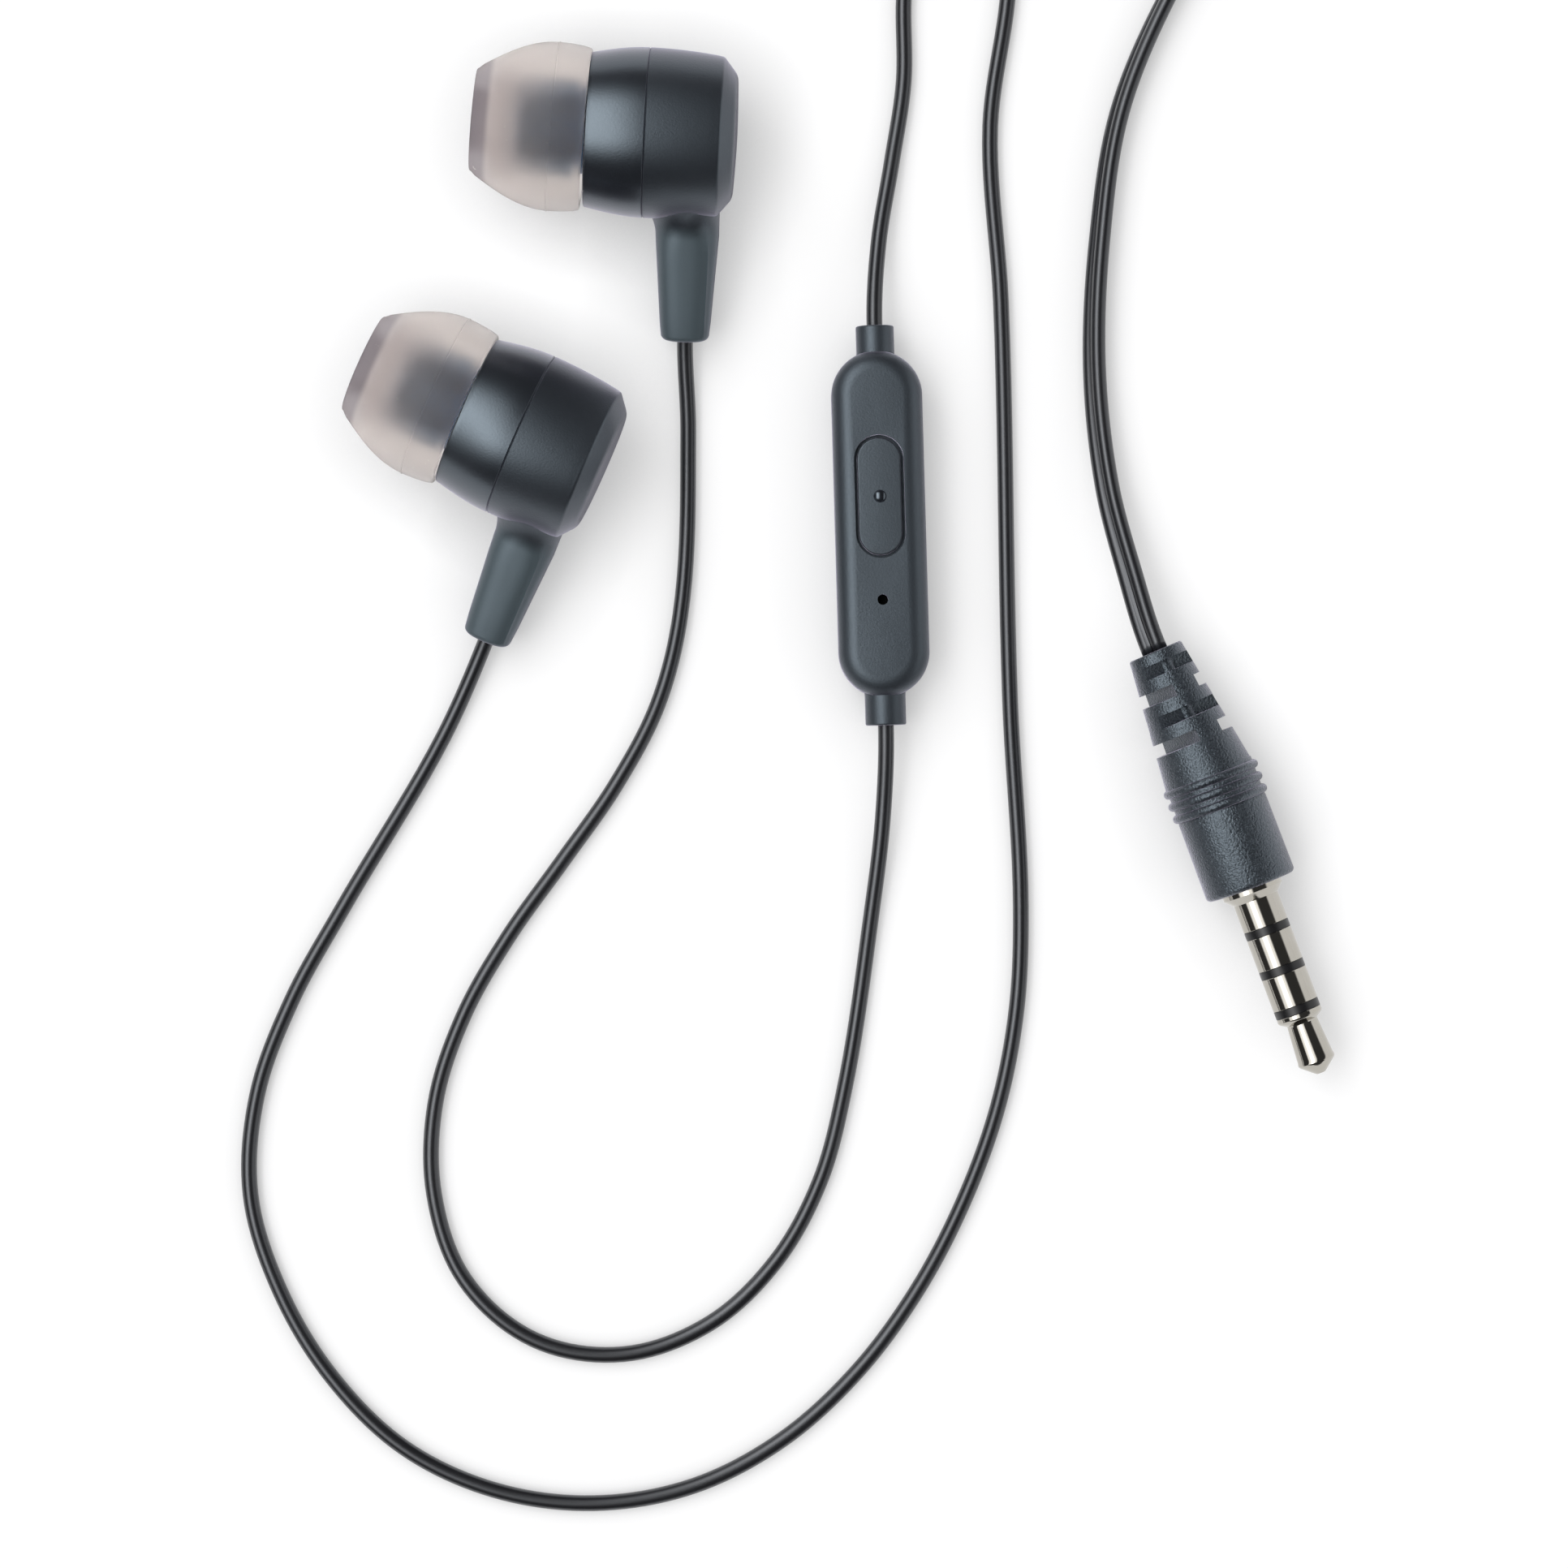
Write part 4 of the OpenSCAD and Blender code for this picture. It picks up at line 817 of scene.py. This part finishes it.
def remote():
    at = remote_place()
    middle, wide, far = REMOTE_H / 2, 9, 20
    for name, low, high, node in (("remote_top_cover", middle, REMOTE_H + 1, "remote_front_shell"),
                                  ("remote_base_cover", -1, middle, "remote_back_shell")):
        cover = remote_solid(name)
        combine(cover, "UNION", collar("collar", 1, TOP_COLLAR), collar("collar", -1, FOOT_COLLAR))
        combine(cover, "INTERSECT", box("half", (-wide, -far, low), (wide, far, high)))
        combine(cover, "DIFFERENCE", remote_solid("hollow", REMOTE_WALL))
        if low == middle:
            opening = stadium("opening", BUTTON_W / 2, BUTTON_LEN - BUTTON_W, OPENING_LOW,
                              REMOTE_H + 1)
            opening.data.transform(moved(0, BUTTON_SET, 0))
            hole = lathe("hole", [(0, OPENING_LOW), (MIC_HOLE_R, OPENING_LOW), (MIC_HOLE_R, 6),
                                  (0, 6)], 32)
            hole.data.transform(moved(0, -MIC_SET, 0))
            combine(cover, "DIFFERENCE", opening, hole)
        soften(cover, 0.06, 40, 2)
        fit(place(cover, at), REMOTE, [node])
    key()


def key():
    """The button: a cap in its opening, the flange that holds it in, a boss and a raised dot."""
    radius, length = BUTTON_W / 2 - BUTTON_GAP, BUTTON_LEN - BUTTON_W
    cap_low, flange_low, boss_low, boss_r = 3.9, 3.55, 3.35, 1.2
    dot_low, dot_edge, dot_rise = 4.6, 4.75, 0.30
    cap = stadium("remote_key", radius, length, cap_low, REMOTE_H - 0.05, 0.14)
    flange = stadium("flange", BUTTON_W / 2 + 0.15, length, flange_low, cap_low + 0.05)
    boss = lathe("boss", [(0, boss_low), (boss_r, boss_low), (boss_r, 3.7), (0, 3.7)], 48)
    for part in (flange, boss):
        combine(cap, "UNION", part)
    cap.data.transform(moved(0, BUTTON_SET, 0))
    fit(place(cap, remote_place()), BUTTON, ["remote_button"], "button")
    dot = lathe("remote_key_dot", [(0, dot_low), (DOT_R, dot_low), (DOT_R, dot_edge)]
                + [(DOT_R * math.cos(a), dot_edge + dot_rise * math.sin(a))
                   for a in map(math.radians, range(10, 81, 10))]
                + [(0, 5.05)], 48)
    dot.data.transform(moved(0, BUTTON_SET, 0))
    fit(place(dot, remote_place(), 50), DOT, body="button")


# ---- Plug -----------------------------------------------------------------------------

def plug_place():
    return moved(*PLUG_AT) @ turned(PLUG_YAW, "Z") @ turned(90, "X")


def slot_low(level):
    return SLOT_FIRST + level * SLOT_PITCH - SLOT_W / 2


def strain_relief(name):
    """A cone with four rows of slots, cut from two sides and turned a quarter from row to row."""
    root, edge, core, cover = BOOT_LEN - 1.25 * RIB_PITCH, 0.18, 0.58, 0.1
    cone = lathe(name, [(0, 0)] + arc(BOOT_END_R - edge, edge, edge, -90, 0, 4)
                 + [(BOOT_ROOT_R, root), (0, root)], 96)
    cutters, beyond = [], 6
    for level in range(4):
        low = slot_low(level)
        for sign in (1, -1):
            ends = sorted((sign * SLOT_FLOOR, sign * beyond))
            slot = box("slot", (-beyond, ends[0], low), (beyond, ends[1], low + SLOT_W))
            slot.data.transform(turned(-SLOT_TURN + 90 * level, "Z"))
            cutters.append(slot)
    combine(cone, "DIFFERENCE", *cutters)
    # The round of the cord's core shows in every other row
    for level in (0, 2):
        low, high = slot_low(level) - cover, slot_low(level) + SLOT_W + cover
        for sign in (1, -1):
            lump = lathe("lump", [(0, low), (core, low), (core, high), (0, high)], 48)
            out = sign * (SLOT_FLOOR + 0.25 - core)
            lump.data.transform(turned(-SLOT_TURN, "Z") @ moved(0, out, 0))
            combine(cone, "UNION", lump)
    return cone


def barrel(name):
    """The plug's grip, with three rounded ribs at the end by the strain relief."""
    groove = BOOT_ROOT_R - 0.03
    half = RIB_PITCH * 0.34
    profile = [(0, -RIB_PITCH - 0.6), (groove, -RIB_PITCH - 0.6)]
    for rib in (-1, 0, 1):
        profile += [(groove + (RIB_R - groove) * math.sin(a), rib * RIB_PITCH + half * math.cos(a))
                    for a in map(math.radians, range(180, -1, -15))]
    profile += [(BARREL_R - 0.04, RIB_PITCH + 0.5)]
    profile += arc(BARREL_R - BARREL_EDGE, BARREL_LEN - BARREL_EDGE, BARREL_EDGE, 0, 90, 6)
    profile += [(PIN_R, BARREL_LEN), (PIN_R, 1), (0, 1)]
    return lathe(name, profile, 128)


def contact(name, low, high, radius=CONTACT_R):
    edge = CONTACT_EDGE
    return lathe(name, [(PIN_R, low), (radius - edge, low), (radius, low + edge),
                        (radius, high - edge), (radius - edge, high), (PIN_R, high)], 96)


def plug():
    at = plug_place()
    grip = barrel("plug_grip")
    relief = strain_relief("relief")
    relief.data.transform(turned(BOOT_LEAN, "Y") @ moved(0, 0, -BOOT_LEN))
    combine(grip, "UNION", relief)
    soften(grip, 0.07, 32, 2)
    fit(place(grip, at, 40), GRIP, ["plug_moulding"])

    bevel = (FLANGE_R - CONTACT_R) / 2
    sleeve = lathe("plug_sleeve_metal", [
        (PIN_R, BARREL_LEN), (FLANGE_R - 0.05, BARREL_LEN), (FLANGE_R, BARREL_LEN + 0.05),
        (FLANGE_R, BARREL_LEN + FLANGE_LEN - 2 * bevel),
        (CONTACT_R + bevel, BARREL_LEN + FLANGE_LEN - bevel),
        (CONTACT_R, BARREL_LEN + FLANGE_LEN), (CONTACT_R, SLEEVE_END - CONTACT_EDGE),
        (CONTACT_R - CONTACT_EDGE, SLEEVE_END), (PIN_R, SLEEVE_END)], 96)
    fit(place(sleeve, at, 25), NICKEL, ["plug_sleeve"])

    near = SLEEVE_END + INSULATOR_LEN
    far = near + RING_LEN + INSULATOR_LEN
    tip = far + RING_LEN + INSULATOR_LEN
    for ring, low in (("near", near), ("far", far)):
        band = place(contact("plug_" + ring + "_ring", low, low + RING_LEN), at, 25)
        fit(band, NICKEL, ["plug_ring_" + ring])
    spacer_r = CONTACT_R - 0.02
    spacers = contact("plug_spacers", SLEEVE_END, near, spacer_r)
    for low in (near + RING_LEN, far + RING_LEN):
        combine(spacers, "UNION", contact("spacer", low, low + INSULATOR_LEN, spacer_r))
    fit(place(spacers, at, 25), INSULATOR, ["plug_insulators"])

    bulb, end = tip + 3.8, tip + TIP_CONTACT_LEN
    point = lathe("plug_point", [
        (0, 1), (PIN_R, 1), (PIN_R, tip), (CONTACT_R - CONTACT_EDGE, tip),
        (CONTACT_R, tip + CONTACT_EDGE), (CONTACT_R, tip + 0.3), (CONTACT_R - 0.07, tip + 0.42),
        (CONTACT_R * 0.86, tip + 0.55), (1.22, tip + 0.74), (1.18, tip + 0.84), (1.20, tip + 0.95),
        (1.40, bulb - 0.2), (1.435, bulb - 0.05), (1.43, bulb + 0.06), (1.36, bulb + 0.18),
        (0.46, end - 0.08), (0.34, end), (0, end)], 96)
    fit(place(point, at, 25), NICKEL, ["plug_tip_contact"])


# ---- Cords ----------------------------------------------------------------------------

# Each route's points between the two ends that the pieces themselves give
RIGHT_LOWER = [
    (10.8, -6, 0.6), (10.2, -19.8, 0.6), (8.5, -26.5, 0.6), (5.3, -32.6, 0.6),
    (1.3, -38.3, 0.6), (-2.7, -43.9, 0.6), (-6.1, -49.9, 0.6), (-8.2, -56.4, 0.6),
    (-8.3, -63.3, 0.6), (-6, -69.7, 0.6), (-0.8, -74.2, 0.6), (5.9, -75.3, 0.6),
    (12.4, -73, 0.6), (17.4, -68.3, 0.6), (20.7, -62.3, 0.6), (22.5, -55.6, 0.6),
    (24.6, -42, 0.7), (25.4, -35.2, 1.5)]

RIGHT_UPPER = [
    (25.1, 8.2, 1.4), (26.1, 14.3, 0.7), (27, 20.4, 0.6), (27, 26.5, 0.6),
    (28.2, 41, 0.6), (29, 49, 0.6), (29.2, 56, 0.6), (31.2, 64.8, 0.6),
    (38.1, 73, 0.6), (48.2, 76.7, 0.6), (58.8, 74.9, 0.6), (64.2, 73.6, 0.6)]

LEFT_ROUTE = [
    (-7.6, -28.9, 0.6), (-15.3, -42, 0.6), (-19, -48.7, 0.6), (-21.6, -55.8, 0.6),
    (-22.1, -63.3, 0.6), (-19.9, -70.5, 0.6), (-16, -77, 0.6), (-10.6, -82.3, 0.6),
    (-3.8, -85.5, 0.6), (3.7, -86.5, 0.6), (11.2, -85.2, 0.6), (17.9, -81.7, 0.6),
    (23.5, -76.6, 0.6), (28, -70.5, 0.6), (31.5, -63.8, 0.6), (34.1, -56.6, 0.6),
    (35.5, -49.2, 0.6), (35.8, -41.6, 0.6), (35, -26.4, 0.6), (34.3, 3.9, 0.6),
    (33.5, 17, 0.6), (34.8, 26.5, 0.6), (35.2, 33, 0.6), (34.6, 40, 0.6),
    (32.1, 49.5, 0.6), (31.1, 55, 0.6), (32.8, 64, 0.6), (39.1, 71.6, 0.6),
    (48.3, 74.9, 0.6), (58, 73.2, 0.6), (62.6, 72.2, 0.6)]

PLUG_ROUTE = [
    (43.8, -16.5, 3), (42.2, -10, 1.8), (41.3, -1, 1.1), (41.7, 8.5, 1.1),
    (43.2, 18, 1.1), (46.7, 26.5, 1.1), (51.4, 34.2, 1.3)]

SPLITTER_ROUTE = [(65.8, 46.9, 3.6), (69, 52.6, 2.4), (69.6, 58.6, 1.5)]

# The coil goes inwards in its lower layer and outwards again in its upper one
COIL_AT = (50, 56)
COIL_START = -55
COIL_TURNS = 11
COIL_OUT_R = 16.7
COIL_IN_R = 7.3
COIL_LOW = 1.55
COIL_HIGH = 4.2
STEPS_A_TURN = 24
PLUG_ROLL = -50

SPLITTER_AT = (67.2, 66.4)
SPLITTER_YAW = 20
SPLITTER_LEN = 8.0
SPLITTER_PITCH = 1.6
SPLITTER_HIGH = 2.6
SPLITTER_LOW = 1.8
SPLITTER_NARROW = 2.1
SPLITTER_WIDE = 3.3
SPLITTER_EDGE = 0.42


def stem_end(bud):
    """Where a stem ends, and which way its cord leaves it."""
    at = bud_place(bud) @ moved(0, 0, STEM_SET) @ turned(90 - STEM_LEAN, "X")
    return at @ Vector((0, 0, STEM_LEN)), (at.to_3x3() @ Vector((0, 0, 1))).normalized()


def coil_point(angle):
    """A point of the coil after an angle, in degrees, from the plug's side."""
    half = 180 * COIL_TURNS
    pitch = (COIL_OUT_R - COIL_IN_R) / (COIL_TURNS / 2)
    radius = COIL_OUT_R - pitch * (angle if angle < half else 2 * half - angle) / 360
    climb = min(1, max(0, (angle - half + 90) / 180))
    turn = math.radians(COIL_START + angle)
    return Vector((COIL_AT[0] + radius * math.cos(turn), COIL_AT[1] + radius * math.sin(turn),
                   COIL_LOW + (COIL_HIGH - COIL_LOW) * climb))


def tangents(points, start, stop):
    """The direction of a route at each point, level where the route lies on the table."""
    ways = [Vector(start)]
    for before, here, after in zip(points, points[1:], points[2:]):
        way = ((after - here).normalized() + (here - before).normalized()).normalized()
        if (here.z - before.z) * (after.z - here.z) <= 1e-9:
            way.z = 0
        ways.append(way.normalized())
    return ways + [Vector(stop)]


def cord_curve(name, points, start, stop, tilt=None):
    """A smooth curve through a route's points, in metres, with given directions at its ends."""
    data = bpy.data.curves.new(name, "CURVE")
    data.dimensions = "3D"
    data.twist_mode = "Z_UP"
    data.resolution_u = CURVE_STEPS
    data.use_fill_caps = True
    line = data.splines.new("BEZIER")
    line.bezier_points.add(len(points) - 1)
    ways = tangents(points, start, stop)
    for i, (knot, point, way) in enumerate(zip(line.bezier_points, points, ways)):
        before = (point - points[max(0, i - 1)]).length / 3
        after = (points[min(len(points) - 1, i + 1)] - point).length / 3
        knot.handle_left_type = knot.handle_right_type = "FREE"
        knot.co = point * MM
        knot.handle_left = (point - way * (before or after)) * MM
        knot.handle_right = (point + way * (after or before)) * MM
        knot.tilt = math.radians(tilt[i]) if tilt else 0
    return new_object(name, data)


def curve_line(piece):
    """The points that a curve passes, close together."""
    knots = piece.data.splines[0].bezier_points
    line = [knots[0].co.copy()]
    for a, b in zip(knots, knots[1:]):
        line += interpolate_bezier(a.co, a.handle_right, b.handle_left, b.co,
                                   CURVE_STEPS + 1)[1:]
    return line


def line_length(line):
    return sum((b - a).length for a, b in zip(line, line[1:]))


def single_cord(name, points, start, stop):
    piece = cord_curve(name, points, start, stop)
    piece.data.bevel_depth = CORD_D / 2 * MM
    piece.data.bevel_resolution = 6
    return piece


def twin_section():
    """Two strands side by side, joined by a waist."""
    waist = math.degrees(math.acos(TWIN_REACH / TWIN_STRAND_R)) + 6
    upper = arc(0, TWIN_REACH, TWIN_STRAND_R, -90 + waist, 270 - waist, 12)
    lower = arc(0, -TWIN_REACH, TWIN_STRAND_R, 90 + waist, 450 - waist, 12)
    data = bpy.data.curves.new("twin_section", "CURVE")
    line = data.splines.new("POLY")
    corners = upper + lower
    line.points.add(len(corners) - 1)
    for point, (x, y) in zip(line.points, corners):
        point.co = (x * MM, y * MM, 0, 1)
    line.use_cyclic_u = True
    return new_object("twin_section", data)


def twin_cord(name, points, start, stop, tilt):
    curve = cord_curve(name + "_line", points, start, stop, tilt)
    curve.data.bevel_mode = "OBJECT"
    section = twin_section()
    curve.data.bevel_object = section
    line = curve_line(curve)
    bpy.context.view_layer.update()
    graph = bpy.context.evaluated_depsgraph_get()
    piece = new_object(name, bpy.data.meshes.new_from_object(curve.evaluated_get(graph)))
    for used in (curve, section):
        bpy.data.objects.remove(used)
    bm = bmesh.new()
    bm.from_mesh(piece.data)
    bmesh.ops.remove_doubles(bm, verts=bm.verts, dist=1e-7)
    bmesh.ops.recalc_face_normals(bm, faces=bm.faces)
    for face in bm.faces:
        face.smooth = True
    bm.to_mesh(piece.data)
    bm.free()
    return piece, line


def splitter_block(name):
    """The moulded splitter: tall at the twin cord, low and wide at the single cords."""
    bm = bmesh.new()
    bmesh.ops.create_cube(bm, size=1)
    for vert in bm.verts:
        at_twin = vert.co.y < 0
        width = SPLITTER_NARROW if at_twin else SPLITTER_WIDE
        height = SPLITTER_HIGH if at_twin else SPLITTER_LOW
        vert.co.x *= width
        vert.co.y *= SPLITTER_LEN
        vert.co.z = (vert.co.z + 0.5) * height
    bmesh.ops.bevel(bm, geom=bm.edges[:], offset=SPLITTER_EDGE, offset_type="OFFSET", segments=5,
                    profile=0.5, affect="EDGES", material=-1)
    bmesh.ops.recalc_face_normals(bm, faces=bm.faces)
    return new_piece(name, bm)


def tie_band(name):
    """The band that holds the coil, from a little inside its turns to a little outside them."""
    turn, wall, width = 250, 0.4, 3.0
    low, high, top = 6.4, 17.6, 5.6
    band = box(name, (low - wall, -width / 2, 0), (high + wall, width / 2, top + wall))
    combine(band, "DIFFERENCE", box("inside", (low, -width, wall), (high, width, top)))
    soften(band, 0.12, 30, 2)
    return place(band, moved(COIL_AT[0], COIL_AT[1], 0) @ turned(turn, "Z"))


def cords():
    towards_twin = turned(SPLITTER_YAW, "Z") @ Vector((0, 1, 0))
    across = turned(SPLITTER_YAW, "Z") @ Vector((1, 0, 0))
    middle = Vector((SPLITTER_AT[0], SPLITTER_AT[1], 0))
    split = {side: middle + towards_twin * SPLITTER_LEN / 2 + across * side * SPLITTER_PITCH / 2
             + Vector((0, 0, SPLITTER_LOW / 2)) for side in (1, -1)}
    twin_end = middle - towards_twin * SPLITTER_LEN / 2 + Vector((0, 0, SPLITTER_HIGH / 2))
    along_remote = turned(REMOTE_YAW, "Z") @ Vector((0, 1, 0))
    remote_middle = Vector((REMOTE_AT[0], REMOTE_AT[1], REMOTE_H / 2))
    remote_top = remote_middle + along_remote * (REMOTE_END + TOP_COLLAR[1])
    remote_foot = remote_middle - along_remote * (REMOTE_END + FOOT_COLLAR[1])

    splitter = splitter_block("splitter_moulding")
    place(splitter, moved(SPLITTER_AT[0], SPLITTER_AT[1], 0) @ turned(SPLITTER_YAW, "Z"))
    fit(splitter, JACKET, ["cord_splitter"])
    tie = fit(tie_band("coil_band"), INSULATOR, ["coil_tie"])

    def lay_single(name, node, start, route, stop):
        (from_at, from_way), (to_at, to_way) = start, stop
        points = [from_at] + [Vector(p) for p in route] + [to_at]
        piece = single_cord(name, points, from_way, to_way)
        length = line_length(curve_line(piece))
        fit(piece, JACKET, [node])
        points[0] * MM

    lay_single("right_lower_lead", "right_cord_lower", stem_end(RIGHT_BUD), RIGHT_LOWER,
               (remote_foot, along_remote))
    lay_single("right_upper_lead", "right_cord_upper", (remote_top, along_remote), RIGHT_UPPER,
               (split[1], -towards_twin))
    lay_single("left_lead", "left_cord", stem_end(LEFT_BUD), LEFT_ROUTE,
               (split[-1], -towards_twin))

    run = Vector((-math.sin(math.radians(COIL_START)), math.cos(math.radians(COIL_START)), 0))
    winding = [coil_point(i * 360 / STEPS_A_TURN) for i in range(STEPS_A_TURN * COIL_TURNS + 1)]
    boot_way = turned(PLUG_YAW + BOOT_LEAN, "Z") @ Vector((0, 1, 0))
    plug_exit = Vector(PLUG_AT) + boot_way * BOOT_LEN
    route = ([twin_end] + [Vector(p) for p in reversed(SPLITTER_ROUTE)]
             + [winding[-1] + run * TWIN_W] + winding[::-1] + [winding[0] - run * TWIN_W]
             + [Vector(p) for p in reversed(PLUG_ROUTE)] + [plug_exit])
    tilt = [0] * (len(route) - len(PLUG_ROUTE) - 1)
    tilt += [PLUG_ROLL * (i + 1) / (len(PLUG_ROUTE) + 1) for i in range(len(PLUG_ROUTE) + 1)]
    main, line = twin_cord("twin_lead", route, -towards_twin, -boot_way, tilt)
    fit(main, JACKET, ["plug_cord", "coiled_cord", "splitter_cord"])


# ---- Studio ---------------------------------------------------------------------------

TABLE_HALF = 3
TABLE_GREY = (0.38, 0.38, 0.385)
TABLE_GLOW = 0.74
SHADOW_REACH = 0.0065
SHADOW_DEPTH = 0.72


def floor():
    """A pale table that shows white, and keeps a soft shadow close to what lies on it."""
    f = Finish("table_white")
    seen, mirrored, through = (f.node("LightPath", {}, out="Is %s Ray" % kind)
                               for kind in ("Camera", "Glossy", "Transmission"))
    white = f.node("BsdfDiffuse", {}, Color=rgb(*TABLE_GREY))
    # Painted shadow: ambient occlusion dims the table's glow close to what lies on it.
    open_air = f.node("AmbientOcclusion", {"samples": 8}, Distance=SHADOW_REACH, out="AO")
    open_air = open_air * SHADOW_DEPTH + (1 - SHADOW_DEPTH)
    glow = f.node("Emission", {}, Color=rgb(1, 1, 1),
                  Strength=(seen * open_air + (mirrored + through).clamped()) * TABLE_GLOW)
    f.node("OutputMaterial", {}, f.node("AddShader", {}, white, glow))
    bm = bmesh.new()
    bmesh.ops.create_grid(bm, x_segments=1, y_segments=1, size=TABLE_HALF)
    table = new_piece("table", bm)
    table.data.materials.append(f.material)


def studio():
    """A dark room: a soft box with a bright core overhead to the left, a pale wall on the right."""
    world = bpy.data.worlds.new("studio")
    scene.world = world
    world.use_nodes = True
    f = Finish("studio", world.node_tree)
    x, y = (f.node("SeparateXYZ", {}, f.place("Generated"), out=axis) for axis in ("X", "Y"))
    depth = y.over(-0.72, -0.22) * (1 - y.over(0.50, 0.92))
    soft_box = x.over(-0.80, -0.74) * (1 - x.over(-0.14, 0.0)) * depth
    core = x.over(-0.64, -0.50) * (1 - x.over(-0.38, -0.24)) * depth
    wall = x.over(0.70, 0.80)
    level = 0.05 + soft_box * 1.75 + core * 2.9 + wall * 1.0
    seen = f.node("LightPath", {}, out="Is Camera Ray")
    background = f.node("Background", {}, rgb(1, 1, 1), level * (1 - seen) + seen)
    f.node("OutputWorld", {}, background)


def camera():
    x, y, height = TABLE_VIEW
    data = bpy.data.cameras.new("camera")
    data.sensor_width = SENSOR
    data.lens = SENSOR * height * PX_A_MM / FRAME_WIDTH
    data.clip_start = 0.01
    scene.camera = new_object("camera", data)
    scene.camera.location = Vector((x, y, height)) * MM


# ---- The hidden pieces of the CAD frame -----------------------------------------------

INNER = {
    "nozzle_mesh": SCREEN, "diaphragm": FILM, "voice_coil": COPPER, "pole_plate": STEEL,
    "magnet": MAGNET, "driver_frame": STEEL, "terminal_board": BOARD,
}


def dress(node, finish):
    piece = bpy.data.objects[node]
    if piece.material_slots:
        piece.material_slots[0].material = finish
    else:
        piece.data.materials.append(finish)


def inner_parts():
    for side in ("right", "left"):
        for part, finish in INNER.items():
            dress(side + "_" + part, finish)
    for node, finish in (("remote_switch", INSULATOR), ("remote_switch_plunger", STEEL),
                         ("remote_circuit_board", BOARD), ("remote_microphone", FELT)):
        dress(node, finish)


camera()
floor()
studio()
inner_parts()
earbud("right", RIGHT_BUD)
earbud("left", LEFT_BUD)
remote()
plug()
cords()
